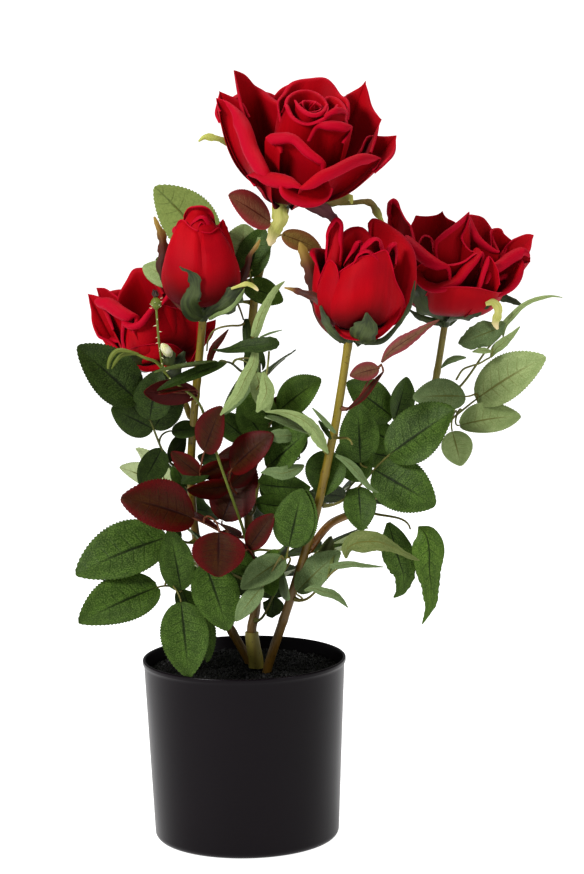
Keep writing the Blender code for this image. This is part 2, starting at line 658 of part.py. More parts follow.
def make_petal(name, flower, petal, thickness):
    """A petal or sepal: a flat grid cupped round the axis, with its corners rolled out."""
    shape = bmesh.new()
    bmesh.ops.create_grid(shape, x_segments=petal.columns, y_segments=petal.rows, size=1.0)
    for vert in shape.verts:
        across = vert.co.x
        share = petal.start + (1 - petal.start) * (vert.co.y + 1) / 2
        share *= 1 - PETAL_SHOULDER * abs(across) ** 1.6 * share ** 2
        radius, height, lean = petal_spine(petal.length, petal.leans, petal.root, share)
        half = petal.width / 2 * petal.outline(share)
        bend = max(radius * PETAL_CUP, PETAL_CUP_LEAST)
        angle = across * half / bend
        roll = petal.curl * half * abs(across) ** 2.5 * share ** 3
        inward = bend * (1 - math.cos(angle)) - roll
        vert.co = flower.place(petal.azimuth, radius - inward * math.cos(lean),
                               bend * math.sin(angle),
                               height - petal.drop + inward * math.sin(lean))
    bmesh.ops.triangulate(shape, faces=shape.faces)
    item = from_bmesh(name, shape)
    solid = item.modifiers.new("Thickness", "SOLIDIFY")
    solid.thickness = thickness
    solid.offset = 0.0
    return evaluated_copy(item, name)


def make_heart(name, flower, diameter, height):
    """The bloom's solid heart, an egg with a full foot that narrows toward the top."""
    shape = bmesh.new()
    bmesh.ops.create_uvsphere(shape, u_segments=9, v_segments=6, radius=1.0)
    for vert in shape.verts:
        x, y, z = vert.co
        share = (z + 1) / 2
        narrow = HEART_FOOT + (HEART_TOP - HEART_FOOT) * share
        vert.co = flower.place(0, x * diameter / 2 * narrow, y * diameter / 2 * narrow,
                               share ** 1.5 * height)
    return from_bmesh(name, shape)


def bloom_petals(bloom):
    """Every petal of a bloom, each a little off its ring's even spacing and lean."""
    petals = []
    dice = random.Random(bloom.name)
    for ring in bloom.rings:
        for index in range(ring.count):
            azimuth = ring.start + index * 360 / ring.count
            azimuth += dice.uniform(-AZIMUTH_SPREAD, AZIMUTH_SPREAD)
            length = ring.length * MM * (1 + dice.uniform(-LENGTH_SPREAD, LENGTH_SPREAD))
            leans = [lean + dice.uniform(-LEAN_SPREAD, LEAN_SPREAD) for lean in ring.leans]
            petals.append(Petal(azimuth, length, ring.width * MM, leans, ring.curl,
                                petal_outline, PETAL_START, PETAL_COLUMNS, PETAL_ROWS,
                                PETAL_ROOT_RADIUS, -PETAL_RISE))
    return petals


def make_bloom(bloom):
    """The heart and every ring of petals, fused."""
    flower = FLOWERS[bloom.name]
    name = f"bloom_{bloom.name}"
    diameter, height = bloom.heart
    pieces = [make_heart(name, flower, diameter * MM, height * MM)]
    for petal in bloom_petals(bloom):
        pieces.append(make_petal("petal", flower, petal, PETAL_THICKNESS))
    return fuse(name, pieces)


def make_cup(name, flower):
    """The calyx's cup: a short cone that carries the sepals and the bloom."""
    shape = bmesh.new()
    bmesh.ops.create_cone(shape, cap_ends=True, segments=8, radius1=CUP_FOOT_RADIUS,
                          radius2=CUP_RADIUS, depth=CUP_HEIGHT - GAP)
    middle = (CUP_HEIGHT + GAP) / 2
    for vert in shape.verts:
        vert.co = flower.place(0, vert.co.x, vert.co.y, vert.co.z - middle)
    bmesh.ops.triangulate(shape, faces=shape.faces)
    return from_bmesh(name, shape)


def make_sepal(bloom, azimuth, length, width, opening, obstacles):
    """A sepal that follows the outer petals, opened until it is clear of the bloom."""
    flower = FLOWERS[bloom.name]
    ring = bloom.rings[-1]
    for step in range(SEPAL_TRIES):
        leans = [math.degrees(lean_at(ring.leans, share * length / ring.length))
                 + opened + SEPAL_OPENING * step
                 for share, opened in zip((0, 0.5, 1), opening)]
        sepal = Petal(azimuth, length * MM, width * MM, leans, 0.0, sepal_outline, SEPAL_START,
                      SEPAL_COLUMNS, SEPAL_ROWS, SEPAL_ROOT_RADIUS, SEPAL_DROP)
        trial = make_petal("trial", flower, sepal, SEPAL_THICKNESS + LEAF_CLEARANCE)
        touching = any(tree_of(trial).overlap(other) for other in obstacles)
        bpy.data.objects.remove(trial, do_unlink=True)
        if not touching:
            return make_petal("sepal", flower, sepal, SEPAL_THICKNESS)
    return None


def make_calyx(bloom, obstacles):
    """The cup and its five sepals, fused."""
    name = f"calyx_{bloom.name}"
    flower = FLOWERS[bloom.name]
    pieces = [make_cup(name, flower)]
    for azimuth, length, width, opening in bloom.sepals:
        sepal = make_sepal(bloom, azimuth, length, width, opening, obstacles)
        if sepal:
            pieces.append(sepal)
    return fuse(name, pieces)


def make_sprays(solids, materials):
    """Every compound leaf: all the stalks first, then the leaflets that fit between."""
    routes = {spray.name: stalk_route(spray) for spray in SPRAYS}
    stalks = {}
    for spray in SPRAYS:
        name = f"spray_{spray.name}"
        stalks[spray.name] = tube(name, routes[spray.name], TWIG_RADIUS, TWIG_TIP_RADIUS, 0)
    fixed = [tree_of(item) for item in solids]
    stalk_trees = {name: tree_of(item) for name, item in stalks.items()}
    placed = []
    for spray in SPRAYS:
        others = [tree for name, tree in stalk_trees.items() if name != spray.name]
        obstacles = fixed + others + placed
        blades = []
        for leaf in spray_leaves(spray, routes[spray.name]):
            leaf = place_leaf(leaf, obstacles)
            if leaf:
                blades.append(from_bmesh("blade", leaf_shape(leaf)))
        placed += [tree_of(blade) for blade in blades]
        body = fuse(f"spray_{spray.name}", [stalks[spray.name]] + blades)
        finish(body, materials[spray.tint])


def finish(item, material):
    item.data.materials.clear()
    item.data.materials.append(material)


def shade(item):
    item.data.shade_smooth()
    item.data.set_sharp_from_angle(angle=math.radians(40))


def build():
    materials = make_materials()
    solids = []
    for item, colour in ((make_pot(), "pot_black"), (make_soil(), "soil_dark")):
        finish(item, materials[colour])
        solids.append(item)
    for limb in LIMBS:
        item = make_limb(limb)
        finish(item, materials[limb.colour])
        shade(item)
        solids.append(item)
    for bloom in BLOOMS:
        FLOWERS[bloom.name] = Flower(bloom)
        item = make_bloom(bloom)
        finish(item, materials["petal_red"])
        solids.append(item)
    blooms = [tree_of(item) for item in solids[-len(BLOOMS):]]
    for bloom in BLOOMS:
        item = make_calyx(bloom, blooms)
        finish(item, materials["sepal_green"])
        solids.append(item)
    turned_solids = [evaluated_copy(item, item.name) for item in solids[:2]]
    make_sprays(turned_solids + solids[2:], materials)


CANES = {}
FLOWERS = {}
clear_scene()
PLANT = new_collection("rose_bush")
build()
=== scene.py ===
"""Looks of the artificial rose bush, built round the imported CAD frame.

Lengths are in metres and the tables in millimetres. The origin is the centre of the
pot's underside, +Z is up and the bush faces -Y. Colours are display values out of 255.
"""

import json
import math
import random
from collections import namedtuple

import bpy
import numpy as np
from mathutils import Matrix, Vector, noise
from mathutils.bvhtree import BVHTree

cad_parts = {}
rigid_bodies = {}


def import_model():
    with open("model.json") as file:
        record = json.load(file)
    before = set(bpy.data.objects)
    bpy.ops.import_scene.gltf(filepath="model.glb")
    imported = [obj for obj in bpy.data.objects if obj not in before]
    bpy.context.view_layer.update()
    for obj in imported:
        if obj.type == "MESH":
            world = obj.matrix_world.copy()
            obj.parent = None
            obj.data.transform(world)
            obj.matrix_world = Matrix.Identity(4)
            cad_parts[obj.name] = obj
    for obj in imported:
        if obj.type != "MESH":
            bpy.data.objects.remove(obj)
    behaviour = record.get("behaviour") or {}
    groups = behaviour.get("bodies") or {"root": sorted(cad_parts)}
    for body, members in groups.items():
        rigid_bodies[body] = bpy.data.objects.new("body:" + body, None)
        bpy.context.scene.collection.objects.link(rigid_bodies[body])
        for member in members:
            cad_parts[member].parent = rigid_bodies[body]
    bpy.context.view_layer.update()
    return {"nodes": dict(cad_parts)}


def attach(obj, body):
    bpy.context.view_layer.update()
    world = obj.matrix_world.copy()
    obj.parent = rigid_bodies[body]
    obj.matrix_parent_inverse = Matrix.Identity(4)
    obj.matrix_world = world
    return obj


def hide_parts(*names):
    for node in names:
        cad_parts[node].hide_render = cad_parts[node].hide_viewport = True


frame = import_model()

MM = 0.001
# A full turn in radians, as the random draws and the pleats use it.
TURN = 6.28

# Pot. The groove round its underside is by inset from the foot's curve, and height.
POT_HEIGHT = 126 * MM
POT_SIDES = 160
POT_ROWS = 14
RIM_RADIUS = 70 * MM
FOOT_RADIUS = 63.5 * MM
FOOT_ROUND = 5 * MM
FOOT_GROOVE = ((9, 0), (7.5, 0.5), (4, 0.5), (3, 0))
ARC_STEPS = 10
WALL = 2 * MM
LIP_HEIGHT = 3 * MM
LIP_DEPTH = 0.7 * MM
POT_CENTRE = 1.5 * MM

# Soil.
SOIL_HEIGHT = 118 * MM
SOIL_CLEARANCE = 0.4 * MM
SOIL_SIDES = 120
SOIL_RINGS = 26
SOIL_SINK = 1.5 * MM
SOIL_ROLL = 2.4 * MM
SOIL_WAVES = 70
SOIL_FLOOR = WALL + 0.5 * MM
# Crumbs: least and greatest size in mm, and the reach of a lump as a share of it.
CRUMBS = 5200
CRUMB_SIZES = (0.6, 1.9)
CRUMB_LUMPS = (0.6, 1.1)

# Rules that the solids follow too.
GAP = 0.3 * MM
FORK_GAP = 0.4 * MM
CANE_SPACING = 24 * MM
TWIG_STEPS = 5
LEAF_FOLD = 0.2
LEAF_DROOP = 0.10
TERMINAL_SINK = 1.5 * MM
YAW_SPREAD = 5
ROLL_SPREAD = 14
SIZE_SPREAD = 0.06
CUP_HEIGHT = 7 * MM
CUP_FOOT_RADIUS = 3 * MM
COLLAR = 3 * MM
SHOOT_STEM = 0.95
# Sideways turn, upward turn and size that a leaflet may have been given to clear others.
TWEAKS = (
    (0, 0, 1.0), (0, 18, 1.0), (0, -18, 1.0), (18, 0, 1.0), (-18, 0, 1.0),
    (0, 34, 0.95), (0, -34, 0.95), (32, 12, 0.92), (-32, 12, 0.92),
    (20, -28, 0.88), (-20, -28, 0.88), (0, 55, 0.85), (50, 0, 0.8), (-50, 0, 0.8),
)
SAME_PLACE = 0.6 * MM

# Canes: a swelling at every joint, soft lumps and five shallow ribs.
BARK_SPACING = 1.6 * MM
BARK_SIDES = 20
JOINTS = 12
JOINT_SPACING = 52 * MM
JOINT_LENGTH = 2.2 * MM
JOINT_SWELL = 0.10
BARK_SLIM = 0.96
BARK_LUMP = 0.05
BARK_LUMPS = 55
RIBS = 5
RIB_DEPTH = 0.018
SHOOT_SLIM = 0.75

# Leaflets. The columns run from edge to edge, in half widths. The tip and the notch of a
# tooth each have a reach in half widths and a shift along the blade in lengths.
LEAF_COLUMNS = (-1.0, -0.82, -0.55, -0.26, 0.0, 0.26, 0.55, 0.82, 1.0)
LEAF_SHEET = 0.35 * MM
TEETH = 27
TOOTH_TIP = (1.01, 0.006)
TOOTH_NOTCH = (0.965, -0.004)
VEINS = 8.0
VEIN_SLANT = 1.3
QUILTING = 0.0105
EDGE_WAVE = 0.035
MIDRIB_SHARE = 0.72
MIDRIB_STEPS = 9

# Stalks and twigs: radii in mm from foot to end. The flare widens a stalk's first two.
STALK_STEPS = 14
STALK_SIDES = 7
STALK_RADII = (1.0, 0.6)
STALK_FLARE = (1.9, 1.35)
TWIG_RADII = (0.75, 0.55)
MIDRIB_RADII = (0.62, 0.22)
MIDRIB_SIDES = 4

# Petals and sepals.
PETAL_ROOT = 3.5 * MM
# Shares of the way from a petal's foot to its edge.
PETAL_RUN = np.linspace(0.02, 1, 20)[:, None, None]
PETAL_MIDDLE = 0.55
PETAL_SHEET = 0.5 * MM
ROLL_ROWS = 9
RIM_SPACING = 2.0 * MM
FULL_ROLL = 1.5 * MM
LEAST_ROLL = 0.15 * MM
PLEAT = 9 * MM
PLEAT_DEPTH = 0.3 * MM
SEPAL_SHEET = 0.45 * MM
SEPAL_COLUMNS = 7
# Teeth of a ribbon: their depth, and their pace along it.
SEPAL_TEETH = (0.14, 1.1)
CURLED_TEETH = (0.05, 2.3)
CUP_RADII = (2.7, 3.3, 3.5, 4.2, 5.4, 6.4, 6.9, 6.8, 6.2)
CUP_SIDES = 20

# The young shoot's thorns, closed bud, husk and pod, in mm.
THORNS = 30
THORN_SIDES = 5
THORN_RADII = (0.45, 0.3, 0.05)
PRICKLES = 11
PRICKLE_RADII = (0.4, 0.25, 0.05)
BUD_RADII = (1.2, 2.7, 3.5, 3.7, 3.3, 2.4, 1.2)
BUD_STEP = 1.35
BUD_SIDES = 14
HUSKS = 6
HUSK_FOOT = 7.5
HUSK_RADII = (0.9, 1.2, 0.4)
HUSK_SIDES = 7
POD_RADII = (0.8, 2.2, 3.0, 3.2, 3.2, 3.1, 2.8, 2.0, 0.8)
BRANCH_SIDES = 8

# Camera, in pixels of a picture 874 high, metres and degrees.
PICTURE_HEIGHT = 874
FOCAL_PIXELS = 2860
SENSOR = 36
CAMERA_PLACE = (0.0353, -1.9303, 0.5566)
CAMERA_PITCH = 81.8
CAMERA_ROLL = -0.9

# Floor and light. Each light has a name, a place, its two sizes and its power.
FLOOR_REACH = 8.0
FLOOR_DROP = 0.4 * MM
FLOOR_GREY = 0.45
FLOOR_GLOW = 0.82
WORLD_LIGHT = 0.25
LIGHT_TARGET = (0.03, 0, 0.3)
LIGHTS = (
    ("key", (-1.5, -1.4, 1.5), (0.6, 0.6), 52),
    ("fill", (1.5, -1.2, 1.0), (0.9, 0.9), 10),
    ("top", (0.1, 0.3, 2.0), (0.9, 0.9), 20),
)

Limb = namedtuple("Limb", "name parent fork route root_diameter tip_diameter colour")
Spray = namedtuple("Spray", "name limb height root tip face roll aspect leaflets tint")
Leaf = namedtuple("Leaf", "root forward face length width")
Bloom = namedtuple("Bloom", "name limb axis petals sepals")
# Rim points are (right, back, up, roll radius) in mm from the foot of the bloom.
Petal = namedtuple("Petal", "rim belly lean turn origin", defaults=((0, 0),))
# Sepal points are (right, back, up, half width) in mm; `face` is the azimuth it shows.
Sepal = namedtuple("Sepal", "tone face route")
# A leaf's colours on top and underneath, the share of the edge colour, the roughness,
# the stalk's two colours and the slot.
Tint = namedtuple("Tint", "upper deep rib edge back edge_share gloss stalk slot")

TINTS = {
    "dark": Tint((52, 68, 30), (26, 36, 16), (16, 22, 10), (38, 46, 16), (94, 106, 62),
                 0.0, 0.42, ((84, 88, 38), (64, 64, 34)), "leaf_green"),
    "green": Tint((70, 92, 40), (38, 54, 22), (20, 26, 12), (50, 62, 22), (112, 126, 74),
                  0.0, 0.45, ((104, 104, 44), (84, 76, 38)), "leaf_green"),
    "bright": Tint((82, 106, 44), (46, 68, 24), (30, 38, 16), (60, 78, 24), (126, 140, 80),
                   0.0, 0.45, ((118, 122, 50), (94, 88, 42)), "leaf_green"),
    "pale": Tint((136, 150, 102), (104, 120, 74), (92, 90, 46), (110, 122, 76), (150, 160, 120),
                 0.0, 0.55, ((120, 124, 62), (98, 96, 54)), "leaf_pale"),
    "grey": Tint((104, 120, 82), (74, 90, 56), (84, 86, 44), (80, 94, 58), (132, 144, 110),
                 0.0, 0.5, ((112, 108, 54), (92, 84, 48)), "leaf_pale"),
    "moss": Tint((106, 114, 72), (78, 90, 48), (92, 88, 42), (84, 84, 40), (120, 122, 76),
                 0.0, 0.5, ((112, 108, 54), (92, 84, 48)), "leaf_green"),
    "burgundy": Tint((62, 40, 16), (50, 14, 10), (34, 10, 10), (88, 4, 16), (66, 22, 22),
                     0.85, 0.45, ((104, 44, 36), (88, 66, 36)), "leaf_burgundy"),
    "mauve": Tint((106, 84, 60), (92, 54, 46), (60, 26, 26), (128, 40, 62), (122, 78, 74),
                  0.75, 0.5, ((104, 60, 48), (88, 70, 44)), "leaf_burgundy"),
    "rosy": Tint((160, 122, 92), (134, 84, 68), (92, 30, 34), (172, 40, 70), (150, 98, 92),
                 0.8, 0.5, ((122, 104, 58), (112, 72, 48)), "leaf_burgundy"),
    "olive": Tint((122, 104, 58), (98, 72, 40), (74, 48, 28), (118, 58, 46), (130, 112, 76),
                  0.7, 0.5, ((112, 96, 50), (90, 72, 42)), "leaf_olive"),
}
# Tints of the sprays whose leaflets differ from their solids' plain colour.
# Partly painted light: "bright" and "rosy" also lighten leaves that lie in the shade of a bloom.
SHADES = {
    "left_dark": "dark", "left_olive": "pale", "mid_hang": "green",
    "centre_dark": "dark", "centre_green": "dark", "centre_grey": "green",
    "centre_low": "bright", "centre_pale": "grey", "top_burgundy": "rosy", "top_mid": "bright",
    "right_big": "green", "right_hang": "green", "right_mid": "green", "right_upper": "pale",
    "low_mid": "dark", "low_pale": "grey", "low_right": "moss",
    "joint_pale": "grey", "joint_down": "moss", "bud_back": "bright", "bud_back_low": "bright",
    "back_foot": "dark", "back_mid": "dark", "back_crest": "dark", "back_right": "dark",
}

# Bark by slot, or by cane where it has its own: the colours at its foot and above, of its
# streaks and of its spots.
BARKS = {
    "cane_olive": ("bark_olive", (90, 68, 24), (122, 108, 34), (92, 70, 24), (56, 38, 16)),
    "cane_brown": ("bark_brown", (116, 108, 50), (96, 72, 30), (92, 76, 34), (52, 36, 22)),
    "cane_right_bloom": ("bark_fork", (118, 76, 34), (118, 108, 48), (104, 74, 34),
                         (58, 38, 20)),
}
# Smooth plastics and cloths: two clouded colours, and for some the colour of the tip.
SHOOT_SKIN = ("shoot_skin", (100, 108, 42), (80, 90, 34))
POD_SKIN = ("pod_skin", (176, 178, 120), (208, 204, 180))
HUSK_SKIN = ("husk_dry", (30, 16, 12), (66, 46, 34))
SEPAL_TONES = {
    "green": ("sepal_deep", (40, 48, 26), (66, 76, 42)),
    "brown": ("sepal_brown", (84, 36, 14), (56, 26, 16), (136, 112, 52)),
    "pale": ("sepal_pale", (90, 106, 60), (112, 126, 80)),
    "light": ("sepal_light", (150, 152, 76), (170, 168, 100), (198, 182, 140)),
    "olive": ("sepal_olive", (96, 96, 44), (122, 104, 60), (178, 184, 96)),
    "mauve": ("sepal_mauve", (84, 44, 50), (104, 60, 62)),
}
# Crimson cloth: its two streaks and its clouds, a painted shade at its foot, a painted
# highlight on its rolled lip, and its pale cut edge, partly a painted highlight.
PETAL_STREAKS = ((140, 0, 18), (164, 0, 28))
PETAL_CLOUD = (138, 0, 26)
PAINTED_FOOT_SHADE = (72, 0, 6)
PAINTED_LIP_HIGHLIGHT = (156, 3, 40)
PALE_EDGE_AND_HIGHLIGHT = (166, 14, 42)
POT_COLOURS = ((15, 8, 14), (21, 14, 20))
SOIL_COLOURS = ((3, 3, 3), (20, 18, 17))


# Stations on the rim of a petal behind, in half spreads, its roll radius and its turn.
RING_STATIONS = (-1, -0.85, -0.5, -0.1, 0.2, 0.6, 0.9, 1)
RING_ROLL = 3.2
RING_TURN = 210
# Degrees from one petal of the heart's curl to the next, between its stations, and of
# its rolled edge.
CURL_STEP = 150
CURL_SPREAD = 30
CURL_TURN = 130


def ring(places, belly, lean):
    """Round petals at (azimuth, radius, height, half spread) places."""
    petals = []
    for azimuth, radius, height, spread in places:
        rim = []
        for step in RING_STATIONS:
            turn = math.radians(azimuth + step * spread)
            reach = radius * (1.06 - 0.24 * step ** 2)
            rim.append((reach * math.cos(turn), reach * math.sin(turn),
                        height * (1.02 - 0.34 * abs(step) ** 3),
                        RING_ROLL * (1.1 - abs(step))))
        petals.append(Petal(tuple(rim), belly, lean, RING_TURN))
    return tuple(petals)


def spiral(count, radius, height, origin):
    """The tight curl in the middle of a bloom, from the inside out."""
    petals = []
    for k in range(count):
        reach = radius * (k + 1) / count
        rim = []
        for step in range(9):
            turn = math.radians(k * CURL_STEP + CURL_SPREAD * (step - 4))
            fall = abs(step - 4) / 4
            rim.append((origin[0] + reach * math.cos(turn), origin[1] + reach * math.sin(turn),
                        height - 5 * fall ** 2 - 1.5 * k, 1.3 - 0.8 * fall))
        petals.append(Petal(tuple(rim), reach + 4, -12, CURL_TURN, origin))
    return tuple(petals)
